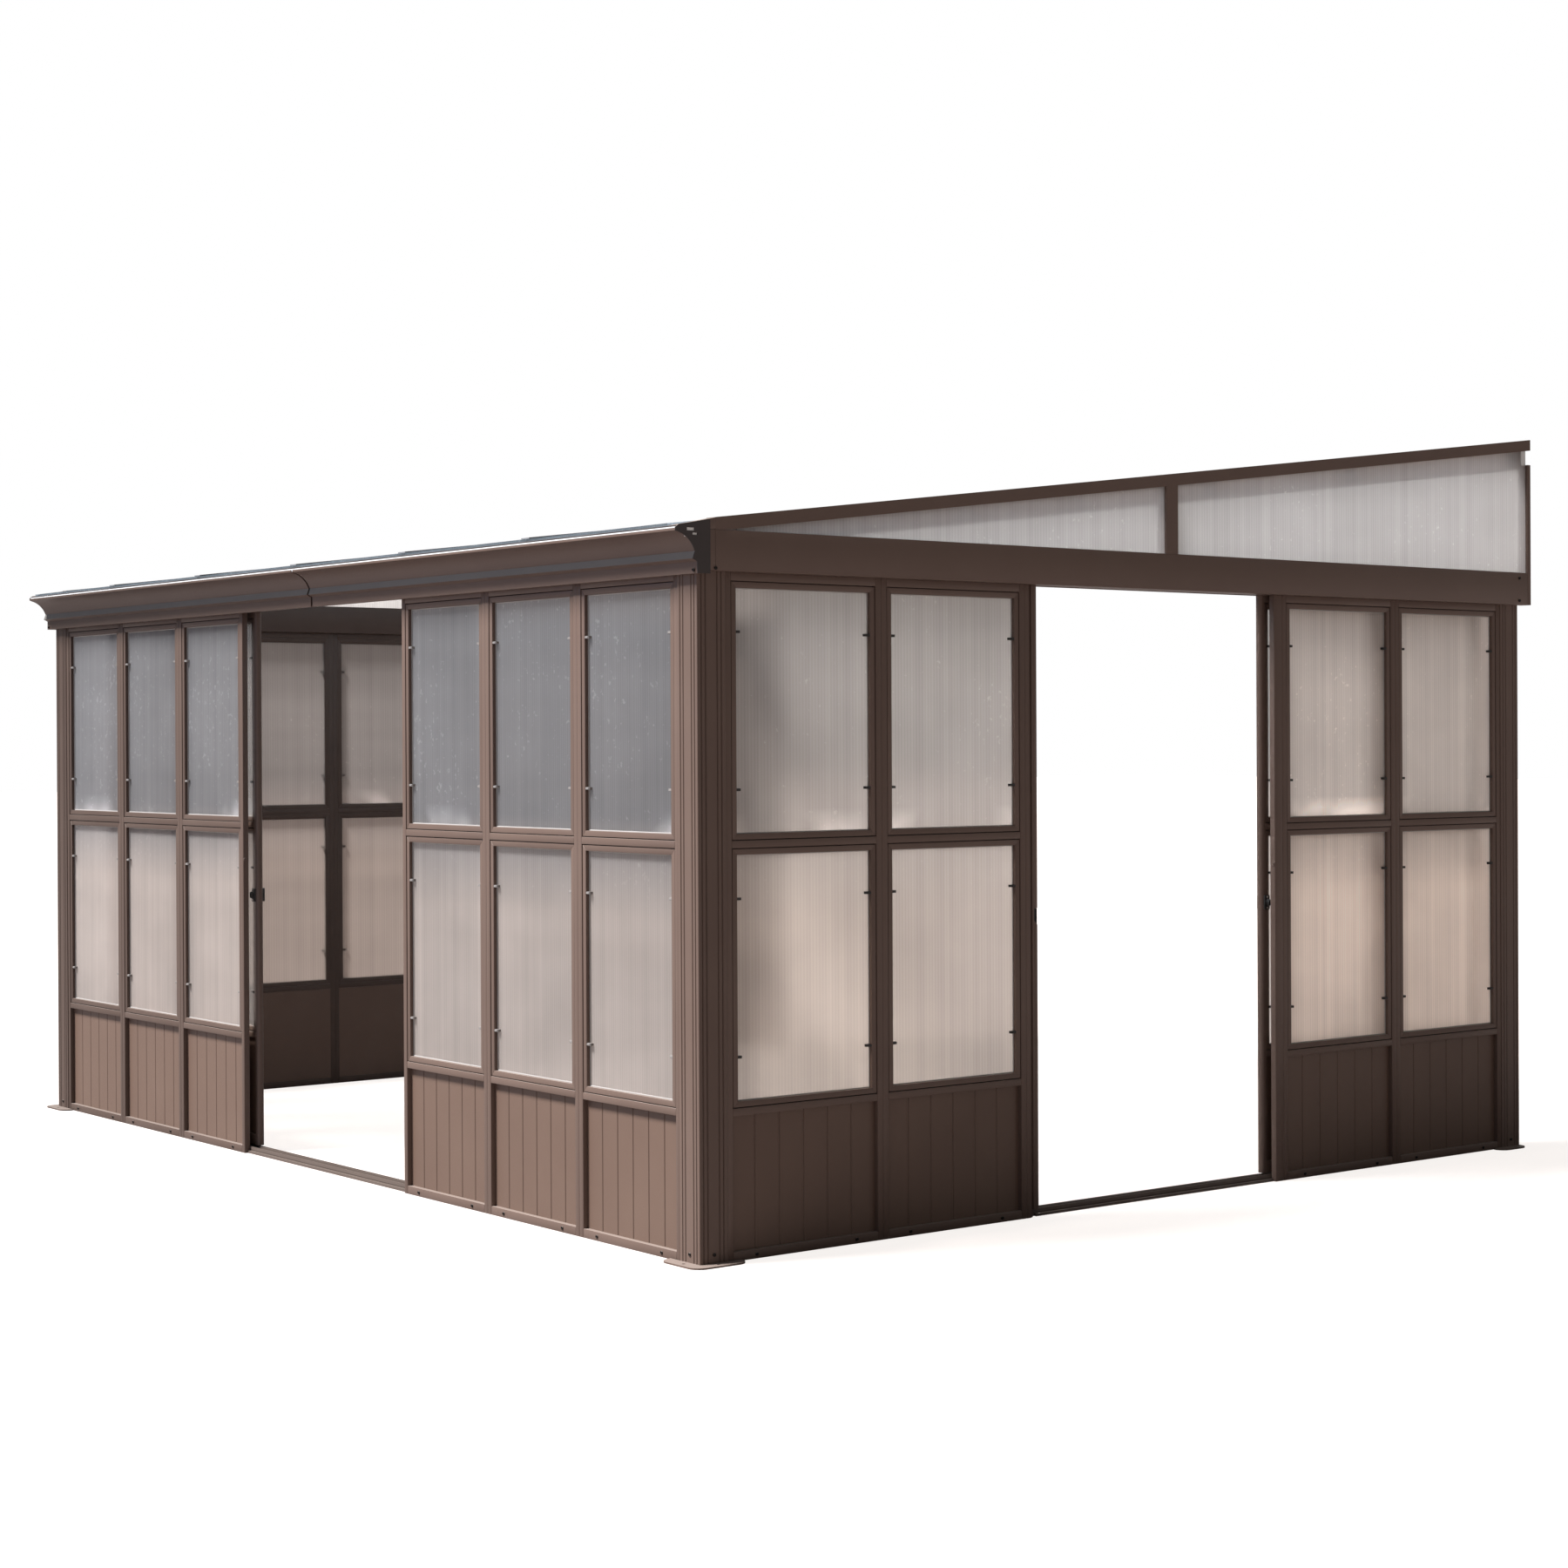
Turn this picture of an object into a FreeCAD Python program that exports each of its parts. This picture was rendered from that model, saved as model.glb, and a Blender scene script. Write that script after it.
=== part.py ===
import FreeCAD, Part
import os
import re
import Sketcher
from FreeCAD import Placement, Rotation, Vector

# Wall-mounted sunroom: X runs along the front wall, Y goes back to the house, Z is up.
# Driving sizes in millimetres, and the roof pitch in degrees.
SIZES = {
    # corner posts and their foot plates
    "post_width": 102,
    "flute_radius": 3,
    "flute_edge": 15,
    "flute_pitch": 15,
    "foot_thickness": 5,
    "foot_reach": 45,
    "foot_return": 28,
    "foot_corner": 24,
    "anchor_hole": 11,
    # wall runs
    "front_module": 548,
    "front_opening": 1208,
    "side_module": 590,
    "side_opening": 1106,
    "strike_jamb": 50,
    "guide_jamb": 40,
    "jamb_foot": 20,
    "strike_width": 14,
    "strike_height": 54,
    # panel sections
    "panel_setback": 3,
    "panel_depth": 22,
    "stile_face": 22,
    "rail_face": 22,
    "base_rail": 28,
    "top_rail": 25,
    "kick_height": 400,
    "lower_light": 767,
    "sash_face": 20,
    "sash_step": 2,
    "sash_depth": 20,
    "pane_grip": 10,
    "pane_slack": 0.4,
    "pane_recess": 16,
    "pane_thickness": 4,
    "board_recess": 17,
    "board_thickness": 5,
    "groove_width": 6,
    "groove_depth": 3,
    "cutter_over": 1,
    # headers and house-wall flanges
    "header_bottom": 2030,
    "header_height": 120,
    "header_depth": 44,
    "header_reach": 33,
    "header_tail": 20,
    "flange_thickness": 17,
    "flange_height": 525,
    "wall_hole": 9,
    "wall_hole_low": 60,
    "wall_hole_rise": 400,
    # crown gutter
    "gutter_drop": 10,
    "gutter_wall": 3,
    "fascia_reach": 24,
    "fascia_height": 35,
    "band_reach": 36,
    "band_bottom": 48,
    "band_top": 70,
    "crown_reach": 97,
    "crown_top": 130,
    "crown_radius": 97,
    "gutter_reach": 105,
    "gutter_height": 143,
    "gutter_back": 118,
    "lip_height": 9,
    "cap_plate": 3,
    "slot_length": 24,
    "slot_height": 7,
    "slot_step": 14,
    # roof
    "eave_rise": 30,
    "roof_pitch": 7.05,
    "rail_drop": 40,
    "rail_width": 45,
    "rafter_width": 40,
    "sheet_thickness": 8,
    "bar_thickness": 4,
    "bar_width": 46,
    "eave_reach": 94,
    "eave_trim": 3,
    "eave_upstand": 12,
    "ledger_height": 85,
    "ledger_depth": 90,
    "gable_mullion": 53,
    "gable_inset": 10,
    "gable_nose": 6,
    # sliding doors, their tracks and wheels
    "door_gap": 25,
    "door_depth": 27,
    "door_stile": 22,
    "door_overlap": 25,
    "front_park": 405,
    "side_park": 83,
    "door_bottom": 26,
    "door_head": 20,
    "bottom_rail": 40,
    "channel_wall": 3,
    "door_pane_recess": 12,
    "door_sash_step": 3,
    "door_sash_depth": 21,
    "track_gap": 7,
    "track_room": 36,
    "track_wall": 4,
    "guide_length": 60,
    "guide_height": 10,
    "guide_play": 1,
    "sill_height": 12,
    "sill_nose": 6,
    "rib_height": 10,
    "rib_width": 3,
    "weather_rib": 12,
    "nosing_depth": 10,
    "nosing_height": 9,
    "wheel_radius": 16,
    "wheel_width": 8,
    "wheel_chamfer": 1,
    "wheel_play": 1,
    "wheel_float": 0.05,
    "wheel_inset": 120,
    "axle_radius": 3,
    "bore_play": 0.05,
    "shoulder_radius": 5,
    "shoulder_play": 0.3,
    # lock at the leading stile, its thumb piece outside
    "lock_centre": 965,
    "lock_inset": 25,
    "lock_width": 26,
    "lock_height": 50,
    "lock_plate": 5,
    "lock_case": 10,
    "spindle_radius": 4,
    "spindle_length": 4,
    "thumb_length": 26,
    "thumb_width": 10,
    "thumb_depth": 9,
    "hub_radius": 9,
    "hub_depth": 3,
}
FRONT_MODULES = 3
SIDE_MODULES = 2
LEFT_MODULES = 6
BOARDS = 6
FLUTE_PAIRS = 2
ROOF_BAYS = 6

doc = FreeCAD.newDocument("sunroom")
sheet = doc.addObject("Spreadsheet::Sheet", "sizes")
for row, (alias, value) in enumerate(SIZES.items(), start=1):
    sheet.set(f"A{row}", alias.replace("_", " "))
    sheet.set(f"B{row}", str(value))
    sheet.setAlias(f"B{row}", alias)
doc.recompute()
ALIAS = re.compile(r"\b(" + "|".join(SIZES) + r")\b")

# Lengths that follow from the driving sizes
WIDTH = f"(2 * post_width + {2 * FRONT_MODULES} * front_module + front_opening)"
DEPTH = (f"(2 * post_width + {2 * SIDE_MODULES} * side_module + strike_jamb + guide_jamb"
         " + side_opening)")
RIGHT = f"({WIDTH} / 2)"
WALL_GAP = "(header_tail + flange_thickness)"
FRONT = f"((gutter_reach - {WALL_GAP} - {DEPTH}) / 2)"
REAR = f"({FRONT} + {DEPTH})"
HOUSE = f"({DEPTH} + {WALL_GAP})"
LEFT_MODULE = f"(({DEPTH} - 2 * post_width) / {LEFT_MODULES})"
HEADER_TOP = "(header_bottom + header_height)"
EAVE = f"({HEADER_TOP} + eave_rise)"
HEADER_FACE = f"({RIGHT} + header_reach)"
RAIL_INNER = f"({HEADER_FACE} - rail_width)"
KICK_TOP = "(base_rail + kick_height)"
LOWER_SILL = f"({KICK_TOP} + rail_face)"
MID_RAIL = f"({LOWER_SILL} + lower_light)"
UPPER_SILL = f"({MID_RAIL} + rail_face)"
UPPER_LIGHT = f"(header_bottom - top_rail - {UPPER_SILL})"
DOOR_PLANE = "(panel_setback + panel_depth + door_gap)"
DOOR_TOP = "(header_bottom + door_head)"
DOOR_MID = f"({DOOR_PLANE} + door_depth / 2)"
AXLE_HEIGHT = "(sill_height + wheel_float + wheel_radius)"


def roof(run):
    """Height of the roof's top line at a run back from the front posts' outer face."""
    return f"({EAVE} + ({run}) * tan(roof_pitch * 1 deg))"


def bind(thing, formulas):
    """Ties properties of an object to the sheet."""
    for path, text in formulas.items():
        thing.setExpression(path, ALIAS.sub(r"sizes.\1", str(text)))


def put(thing, x=0, y=0, z=0, turn=0):
    """Turns an object about the vertical and ties its place to the sheet."""
    thing.Placement = Placement(Vector(), Rotation(Vector(0, 0, 1), turn))
    bind(thing, {"Placement.Base.x": x, "Placement.Base.y": y, "Placement.Base.z": z})
    return thing


def bar(name, start, size):
    """A straight rectangular member."""
    box = doc.addObject("Part::Box", name)
    bind(box, dict(zip(("Length", "Width", "Height"), size)))
    return put(box, *start)


def cut(name, base, tool):
    """The base with the tool's volume taken out."""
    result = doc.addObject("Part::Cut", name)
    result.Base = base
    result.Tool = tool
    return result


def together(name, things):
    """Separate solids that are handled as one group."""
    group = doc.addObject("Part::Compound", name)
    group.Links = things
    return group


def placed(label, master, places):
    """Copies of a master at places, each x, y, z and a turn about the vertical."""
    links = []
    for place in places:
        link = doc.addObject("App::Link", f"{label}_copy")
        link.LinkedObject = master
        link.LinkTransform = True
        links.append(put(link, *place))
    return together(label, links)


def origin_plane(body, role):
    return next(item for item in body.Origin.OriginFeatures if item.Role == role)


# An arc starts as a shallow bow, this share of its chord, before its radius is set
START_BULGE = 0.1


def outline(body, name, plane, corners, arcs=None):
    """A closed sketch through corners given as formulas; arcs maps an edge to its radius and side."""
    sketch = body.newObject("Sketcher::SketchObject", name)
    sketch.AttachmentSupport = [(origin_plane(body, plane), "")]
    sketch.MapMode = "FlatFace"
    for number, corner in enumerate(corners):
        sketch.addGeometry(Part.Point(Vector(number, number % 2, 0)), True)
        for axis, text in zip(("DistanceX", "DistanceY"), corner):
            rule = sketch.addConstraint(Sketcher.Constraint(axis, -1, 1, number, 1, 1.0))
            bind(sketch, {f"Constraints[{rule}]": text})
    sketch.recompute()
    spots = [sketch.getPoint(number, 1) for number in range(len(corners))]
    for number, spot in enumerate(spots):
        after = (number + 1) % len(spots)
        goal = spots[after]
        radius, side = (arcs or {}).get(number, (None, 0))
        if radius:
            chord = goal - spot
            bulge = Vector(-chord.y, chord.x, 0) * (START_BULGE * side)
            edge = sketch.addGeometry(Part.Arc(spot, (spot + goal) * 0.5 + bulge, goal))
            ends = (2, 1) if side > 0 else (1, 2)
        else:
            edge = sketch.addGeometry(Part.LineSegment(spot, goal))
            ends = (1, 2)
        sketch.addConstraint(Sketcher.Constraint("Coincident", edge, ends[0], number, 1))
        sketch.addConstraint(Sketcher.Constraint("Coincident", edge, ends[1], after, 1))
        if radius:
            rule = sketch.addConstraint(Sketcher.Constraint("Radius", edge, chord.Length))
            bind(sketch, {f"Constraints[{rule}]": radius})
    return sketch


def circle(body, name, plane, centre, diameter):
    """A circle sketch with its centre and diameter given as formulas."""
    sketch = body.newObject("Sketcher::SketchObject", name)
    sketch.AttachmentSupport = [(origin_plane(body, plane), "")]
    sketch.MapMode = "FlatFace"
    sketch.addGeometry(Part.Circle(Vector(), Vector(0, 0, 1), 1.0))
    for axis, text in zip(("DistanceX", "DistanceY"), centre):
        rule = sketch.addConstraint(Sketcher.Constraint(axis, -1, 1, 0, 3, 1.0))
        bind(sketch, {f"Constraints[{rule}]": text})
    rule = sketch.addConstraint(Sketcher.Constraint("Diameter", 0, 2.0))
    bind(sketch, {f"Constraints[{rule}]": diameter})
    return sketch


def pad(body, sketch, length):
    """Extrudes a sketch up from the XY plane, right from YZ or back from XZ."""
    feature = body.newObject("PartDesign::Pad", f"{sketch.Name}_pad")
    feature.Profile = sketch
    feature.Reversed = "XZ" in sketch.AttachmentSupport[0][0].Role
    bind(feature, {"Length": length})
    return feature


def drill(body, sketch):
    """Cuts a sketch right through the body, the way its pad went."""
    feature = body.newObject("PartDesign::Pocket", f"{sketch.Name}_pocket")
    feature.Profile = sketch
    feature.Type = "ThroughAll"
    feature.Reversed = "XZ" not in sketch.AttachmentSupport[0][0].Role
    return feature


def prism(name, plane, corners, length, arcs=None):
    """A body with one constant section."""
    body = doc.addObject("PartDesign::Body", name)
    pad(body, outline(body, f"{name}_section", plane, corners, arcs), length)
    return body


def turned(name, corners):
    """A body turned about the Y axis from a section of radius against Y."""
    body = doc.addObject("PartDesign::Body", name)
    sketch = outline(body, f"{name}_section", "XY_Plane", corners)
    spin = body.newObject("PartDesign::Revolution", f"{name}_turn")
    spin.Profile = sketch
    spin.ReferenceAxis = (sketch, ["V_Axis"])
    spin.Angle = 360
    return body


nodes = []


def node(label, thing):
    """Names a finished sub-part."""
    thing.Label = label
    nodes.append(thing)
    return thing


# Corner posts: square tubes with a pair of drawn flutes by each edge of the two outer faces, each on
# its foot plate
def post_body(name):
    body = doc.addObject("PartDesign::Body", name)
    square = [(0, 0), ("post_width", 0), ("post_width", "post_width"), (0, "post_width")]
    pad(body, outline(body, f"{name}_section", "XY_Plane", square), "header_bottom - foot_thickness")
    doc.recompute()
    for axis in ("X_Axis", "Y_Axis"):
        flutes = []
        for number, offset in enumerate(("flute_edge", "(flute_edge + flute_pitch)")):
            mark = f"{name}_{axis[0]}_flute_{number}"
            centre = (offset, 0) if axis == "X_Axis" else (0, offset)
            flutes.append(drill(body, circle(body, mark, "XY_Plane", centre, "2 * flute_radius")))
        row = body.newObject("PartDesign::LinearPattern", f"{name}_{axis[0]}_flute_pairs")
        row.Originals = flutes
        row.Direction = (origin_plane(body, axis), [""])
        row.Occurrences = FLUTE_PAIRS
        bind(row, {"Length": "post_width - 2 * flute_edge - flute_pitch"})
        body.Tip = row
    return body


def foot_body(name, side_x, side_y):
    """A plate under a post with an anchoring flange past one or both outer faces."""
    body = doc.addObject("PartDesign::Body", name)
    far = "post_width + foot_return"
    corner = "foot_corner"
    corners = []
    arcs = {}

    def rounded(before, after):
        arcs[len(corners)] = (corner, -1)
        corners.extend([before, after])

    if side_x and side_y:
        rounded(("-foot_reach", "foot_corner - foot_reach"), ("foot_corner - foot_reach", "-foot_reach"))
    if side_y:
        if not side_x:
            rounded((0, "foot_corner - foot_reach"), ("foot_corner", "-foot_reach"))
        rounded((f"{far} - foot_corner", "-foot_reach"), (far, "foot_corner - foot_reach"))
        corners.append((far, 0))
    corners.extend([("post_width", 0), ("post_width", "post_width")])
    if side_x:
        corners.extend([(0, "post_width"), (0, far)])
        rounded(("foot_corner - foot_reach", far), ("-foot_reach", f"{far} - foot_corner"))
        if not side_y:
            rounded(("-foot_reach", "foot_corner"), ("foot_corner - foot_reach", 0))
    else:
        corners.append((0, "post_width"))
    pad(body, outline(body, f"{name}_section", "XY_Plane", corners, arcs), "foot_thickness")
    doc.recompute()
    spots = []
    if side_x:
        spots.append(("-foot_reach / 2", "post_width / 2"))
    if side_y:
        spots.append(("post_width / 2", "-foot_reach / 2"))
    for number, spot in enumerate(spots):
        drill(body, circle(body, f"{name}_anchor_{number}", "XY_Plane", spot, "anchor_hole"))
    return body


CORNERS = {
    "front_left": (f"-{RIGHT}", FRONT, 0, True, True),
    "front_right": (RIGHT, FRONT, 90, True, True),
    "rear_right": (RIGHT, REAR, 180, True, False),
    "rear_left": (f"-{RIGHT}", REAR, 270, False, True),
}
feet = []
for corner, (x, y, turn, side_x, side_y) in CORNERS.items():
    post = post_body(f"post_{corner}")
    node(f"corner_post_{corner}", put(post, x, y, "foot_thickness", turn))
    feet.append(put(foot_body(f"foot_{corner}", side_x, side_y), x, y, 0, turn))
node("foot_plates", together("foot_plates", feet))


# Glazed wall modules in their own frame: X along the wall, Y into the room from the outer face
def sash(name, start, size, step, depth, recess):
    """A ring round one pane, with a groove that grips the pane's edge."""
    x, z = start
    width, height = size
    grip = "(sash_face - pane_grip)"
    ring = cut(f"{name}_ring", bar(f"{name}_outer", (x, step, z), (width, depth, height)),
               bar(f"{name}_sight", (f"{x} + sash_face", f"{step} - cutter_over", f"{z} + sash_face"),
                   (f"{width} - 2 * sash_face", f"{depth} + 2 * cutter_over",
                    f"{height} - 2 * sash_face")))
    groove = bar(f"{name}_groove", (f"{x} + {grip}", recess, f"{z} + {grip}"),
                 (f"{width} - 2 * {grip}", "pane_thickness", f"{height} - 2 * {grip}"))
    return cut(name, ring, groove)


def pane(name, start, size, recess):
    """A twin-wall sheet whose edges stand in the sash groove."""
    x, z = start
    width, height = size
    inset = "(sash_face - pane_grip + pane_slack)"
    return bar(name, (f"{x} + {inset}", recess, f"{z} + {inset}"),
               (f"{width} - 2 * {inset}", "pane_thickness", f"{height} - 2 * {inset}"))


def boards(name, start, width, height, recess):
    """A kick panel with V grooves down its outer face."""
    x, z = start
    corners = [(0, 0)]
    for number in range(1, BOARDS):
        middle = f"{number} * ({width}) / {BOARDS}"
        corners.append((f"{middle} - groove_width / 2", 0))
        corners.append((middle, "groove_depth"))
        corners.append((f"{middle} + groove_width / 2", 0))
    corners.extend([(width, 0), (width, "board_thickness"), (0, "board_thickness")])
    return put(prism(name, "XY_Plane", corners, height), x, recess, z)


LIGHTS = {"lower": (LOWER_SILL, "lower_light"), "upper": (UPPER_SILL, UPPER_LIGHT)}


def wall_module(name, width):
    """Masters of a one-column module: its frame, sashes, panes and kick board."""
    clear = f"({width} - 2 * stile_face)"
    frame = [
        bar(f"{name}_stile_a", (0, 0, 0), ("stile_face", "panel_depth", "header_bottom")),
        bar(f"{name}_stile_b", (f"{width} - stile_face", 0, 0),
            ("stile_face", "panel_depth", "header_bottom")),
    ]
    rails = (("base", 0, "base_rail"), ("lower", KICK_TOP, "rail_face"), ("mid", MID_RAIL, "rail_face"),
             ("top", "header_bottom - top_rail", "top_rail"))
    for rail, level, face in rails:
        frame.append(bar(f"{name}_{rail}_rail", ("stile_face", 0, level), (clear, "panel_depth", face)))
    sashes = []
    panes = []
    for light, (level, height) in LIGHTS.items():
        spot = ("stile_face", level)
        sashes.append(sash(f"{name}_{light}_sash", spot, (clear, height),
                           "sash_step", "sash_depth", "pane_recess"))
        panes.append(pane(f"{name}_{light}_pane", spot, (clear, height), "pane_recess"))
    kick = boards(f"{name}_kick", ("stile_face", "base_rail"), clear, "kick_height", "board_recess")
    return {
        "frame": together(f"{name}_frame", frame),
        "sashes": together(f"{name}_sashes", sashes),
        "panes": together(f"{name}_panes", panes),
        "kick_boards": kick,
    }


front_master = wall_module("front_module_master", "front_module")
side_master = wall_module("side_module_master", "side_module")
left_master = wall_module("left_module_master", LEFT_MODULE)

FRONT_FACE = f"{FRONT} + panel_setback"
RIGHT_FACE = f"{RIGHT} - panel_setback"
GUIDE_START = f"({REAR} - post_width - {SIDE_MODULES} * side_module - guide_jamb)"
panels = {
    "front_left": (front_master, [(f"-{RIGHT} + post_width + {number} * front_module", FRONT_FACE, 0, 0)
                                  for number in range(FRONT_MODULES)]),
    "front_right": (front_master, [(f"{RIGHT} - post_width - {number + 1} * front_module", FRONT_FACE, 0, 0)
                                   for number in range(FRONT_MODULES)]),
    "right_front": (side_master, [(RIGHT_FACE, f"{FRONT} + post_width + {number} * side_module", 0, 90)
                                  for number in range(SIDE_MODULES)]),
    "right_rear": (side_master, [(RIGHT_FACE, f"{REAR} - post_width - {number + 1} * side_module", 0, 90)
                                 for number in range(SIDE_MODULES)]),
    "left": (left_master, [(f"-{RIGHT} + panel_setback", f"{REAR} - post_width - {number} * {LEFT_MODULE}",
                            0, -90) for number in range(LEFT_MODULES)]),
}
WALLS = {"front": ("front_left", "front_right"), "right": ("right_front", "right_rear"), "left": ("left",)}
for panel, (master, places) in panels.items():
    node(f"{panel}_panel_frame", placed(f"{panel}_panel_frame", master["frame"], places))
for wall, members in WALLS.items():
    for kind in ("panes", "kick_boards"):
        copies = []
        for panel in members:
            master, places = panels[panel]
            copies.append(placed(f"{panel}_panel_{kind}", master[kind], places))
        node(f"{wall}_{kind}", together(f"{wall}_{kind}", copies))
ring_copies = [placed(f"{panel}_sashes", master["sashes"], places)
               for panel, (master, places) in panels.items()]
node("pane_sashes", together("pane_sashes", ring_copies))

# Door jambs on the side wall: the strike jamb clears the sill at its foot and is notched for the lock
strike_low = "(lock_centre - strike_height / 2)"
strike_corners = [
    (0, 0), ("strike_jamb - jamb_foot", 0), ("strike_jamb - jamb_foot", "door_bottom"),
    ("strike_jamb", "door_bottom"), ("strike_jamb", strike_low),
    ("strike_jamb - strike_width", f"{strike_low} + strike_width"),
    ("strike_jamb - strike_width", f"{strike_low} + strike_height"),
    ("strike_jamb", f"{strike_low} + strike_height"), ("strike_jamb", "header_bottom"), (0, "header_bottom"),
]
strike = put(prism("strike_jamb_body", "XZ_Plane", strike_corners, "panel_depth"),
             RIGHT_FACE, f"{FRONT} + post_width + {SIDE_MODULES} * side_module", 0, 90)
guide = put(bar("guide_jamb_bar", (0, 0, 0), ("guide_jamb", "panel_depth", "header_bottom")),
            RIGHT_FACE, GUIDE_START, 0, 90)
node("side_door_jambs", together("side_door_jambs", [strike, guide]))

# Headers: the front one spans the corners, the side ones butt against it and run on to the house
front_header = bar("front_header", (f"-{HEADER_FACE}", FRONT, "header_bottom"),
                   (f"2 * {HEADER_FACE}", "header_depth", "header_height"))
node("front_header", front_header)
side_run = f"({DEPTH} + header_tail - header_depth)"
side_width = "(header_depth + header_reach)"
for side, x in (("right", f"{RIGHT} - header_depth"), ("left", f"-{HEADER_FACE}")):
    beam = bar(f"{side}_header", (x, f"{FRONT} + header_depth", "header_bottom"),
               (side_width, side_run, "header_height"))
    node(f"{side}_header", beam)

# Upper door tracks: a web and a hanging lip behind the header, and a ribbed sill below
LIP = f"({DOOR_PLANE} + door_depth + track_gap - guide_play - track_wall)"
TRACK_REACH = f"({LIP} + track_wall)"


def head_track(name, length):
    web = bar(f"{name}_web", (0, "header_depth", "header_bottom + track_room"),
              (length, f"{TRACK_REACH} - header_depth", "track_wall"))
    lip = bar(f"{name}_lip", (0, LIP, "header_bottom"), (length, "track_wall", "track_room"))
    return together(name, [web, lip])


def sill_track(name, length, opening):
    """A base with a weather rib, two wheel ribs and a nosing across the doorway."""
    start = "(panel_setback + panel_depth)"
    reach = f"(post_width - {start})"
    corners = [(0, 0), (reach, 0), (reach, "sill_height - sill_nose"),
               (f"{reach} - sill_nose", "sill_height"), (0, "sill_height")]
    half = "(wheel_width / 2 + wheel_play)"
    solids = [put(prism(f"{name}_base", "YZ_Plane", corners, length), 0, start, 0)]
    ribs = (("weather", start, "weather_rib"), ("outer", f"{DOOR_MID} - {half} - rib_width", "rib_height"),
            ("inner", f"{DOOR_MID} + {half}", "rib_height"))
    for rib, depth, height in ribs:
        solids.append(bar(f"{name}_{rib}_rib", (0, depth, "sill_height"), (length, "rib_width", height)))
    first, clear = opening
    solids.append(bar(f"{name}_nosing", (first, f"{start} - nosing_depth", 0),
                      (clear, "nosing_depth", "nosing_height")))
    return together(name, solids)


front_run = f"({WIDTH} - 2 * post_width)"
right_run = f"({DEPTH} - 2 * post_width)"
front_place = [(f"-{RIGHT} + post_width", FRONT, 0, 0)]
right_place = [(RIGHT, f"{FRONT} + post_width", 0, 90)]
front_gap = (f"{FRONT_MODULES} * front_module", "front_opening")
right_gap = (f"{SIDE_MODULES} * side_module + strike_jamb", "side_opening")
for wall, length, place, opening in (("front", front_run, front_place, front_gap),
                                     ("right", right_run, right_place, right_gap)):
    head = head_track(f"{wall}_head_master", length)
    sill = sill_track(f"{wall}_sill_master", length, opening)
    node(f"{wall}_door_track", placed(f"{wall}_door_track", head, place))
    node(f"{wall}_sill_track", placed(f"{wall}_sill_track", sill, place))


# Crown gutter in two lengths, an open trough with a moulded face, closed by slotted end caps
GUTTER_FLOOR = "(header_bottom - gutter_drop)"
face = [("-fascia_reach", 0), ("-fascia_reach", "fascia_height"), ("-band_reach", "band_bottom"),
        ("-band_reach", "band_top"), ("-crown_reach", "crown_top"),
        ("-gutter_reach", "gutter_height - lip_height"), ("-gutter_reach", "gutter_height")]
inside = [("gutter_wall - gutter_reach", "gutter_height"),
          ("gutter_wall - gutter_reach", "gutter_height - lip_height + gutter_wall"),
          ("gutter_wall - crown_reach", "crown_top + gutter_wall"), ("gutter_wall - band_reach", "band_top"),
          ("gutter_wall - band_reach", "band_bottom + gutter_wall"),
          ("gutter_wall - fascia_reach", "fascia_height + gutter_wall"),
          ("gutter_wall - fascia_reach", "gutter_wall"), ("-gutter_wall", "gutter_wall"),
          ("-gutter_wall", "gutter_back"), (0, "gutter_back")]
trough = [(0, 0)] + face + inside
crown = {4: ("crown_radius", -1), 10: ("crown_radius", 1)}
for side, x in (("left", f"-{HEADER_FACE}"), ("right", 0)):
    gutter = prism(f"gutter_{side}_body", "YZ_Plane", trough, HEADER_FACE, crown)
    node(f"gutter_{side}", put(gutter, x, FRONT, GUTTER_FLOOR))

cap_top = f"({roof('header_depth')} - {GUTTER_FLOOR})"
cap_back = [("header_depth", cap_top), ("header_depth", "gutter_drop"), (0, "gutter_drop")]
cap_corners = [(0, 0)] + face + cap_back
SLOTS = (("-band_reach - slot_length", "crown_top - slot_height / 2"),
         ("-band_reach - slot_length / 2", "crown_top - slot_height / 2 - slot_step"))
for side, x in (("left", f"-{HEADER_FACE} - cap_plate"), ("right", HEADER_FACE)):
    cap = prism(f"cap_{side}_body", "YZ_Plane", cap_corners, "cap_plate", {4: ("crown_radius", -1)})
    doc.recompute()
    for number, (y, z) in enumerate(SLOTS):
        far = f"{y} + slot_length"
        high = f"{z} + slot_height"
        slot = [(y, z), (far, z), (far, high), (y, high)]
        drill(cap, outline(cap, f"cap_{side}_slot_{number}", "YZ_Plane", slot))
    node(f"gutter_end_cap_{side}", put(cap, x, FRONT, GUTTER_FLOOR))


# Roof: sloped end rails over the gables, rafters from the front header to the house ledger,
# twin-wall sheets on the rafters, cover bars on top and an upstanding trim along the eave
SHEET_TOP = "bar_thickness"
SHEET_UNDER = "(bar_thickness + sheet_thickness)"


def under(run, drop):
    """Height at a drop below the roof's top line."""
    return f"({roof(run)} - {drop})"


def sloped(name, runs, drops, width):
    """A member between two runs and two drops below the top line."""
    start, end = runs
    high, low = drops
    corners = [(start, under(start, low)), (end, under(end, low)), (end, under(end, high)),
               (start, under(start, high))]
    return prism(name, "YZ_Plane", corners, width)


touch = "((rail_drop - eave_rise) / tan(roof_pitch * 1 deg))"
LEDGER_RUN = f"({HOUSE} - ledger_depth)"


def seated(name, start, end, high, width):
    """A sloped member whose foot lies flat on the header."""
    corners = [(start, HEADER_TOP), (touch, HEADER_TOP), (end, under(end, "rail_drop")),
               (end, under(end, high)), (start, under(start, high))]
    return prism(name, "YZ_Plane", corners, width)


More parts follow.
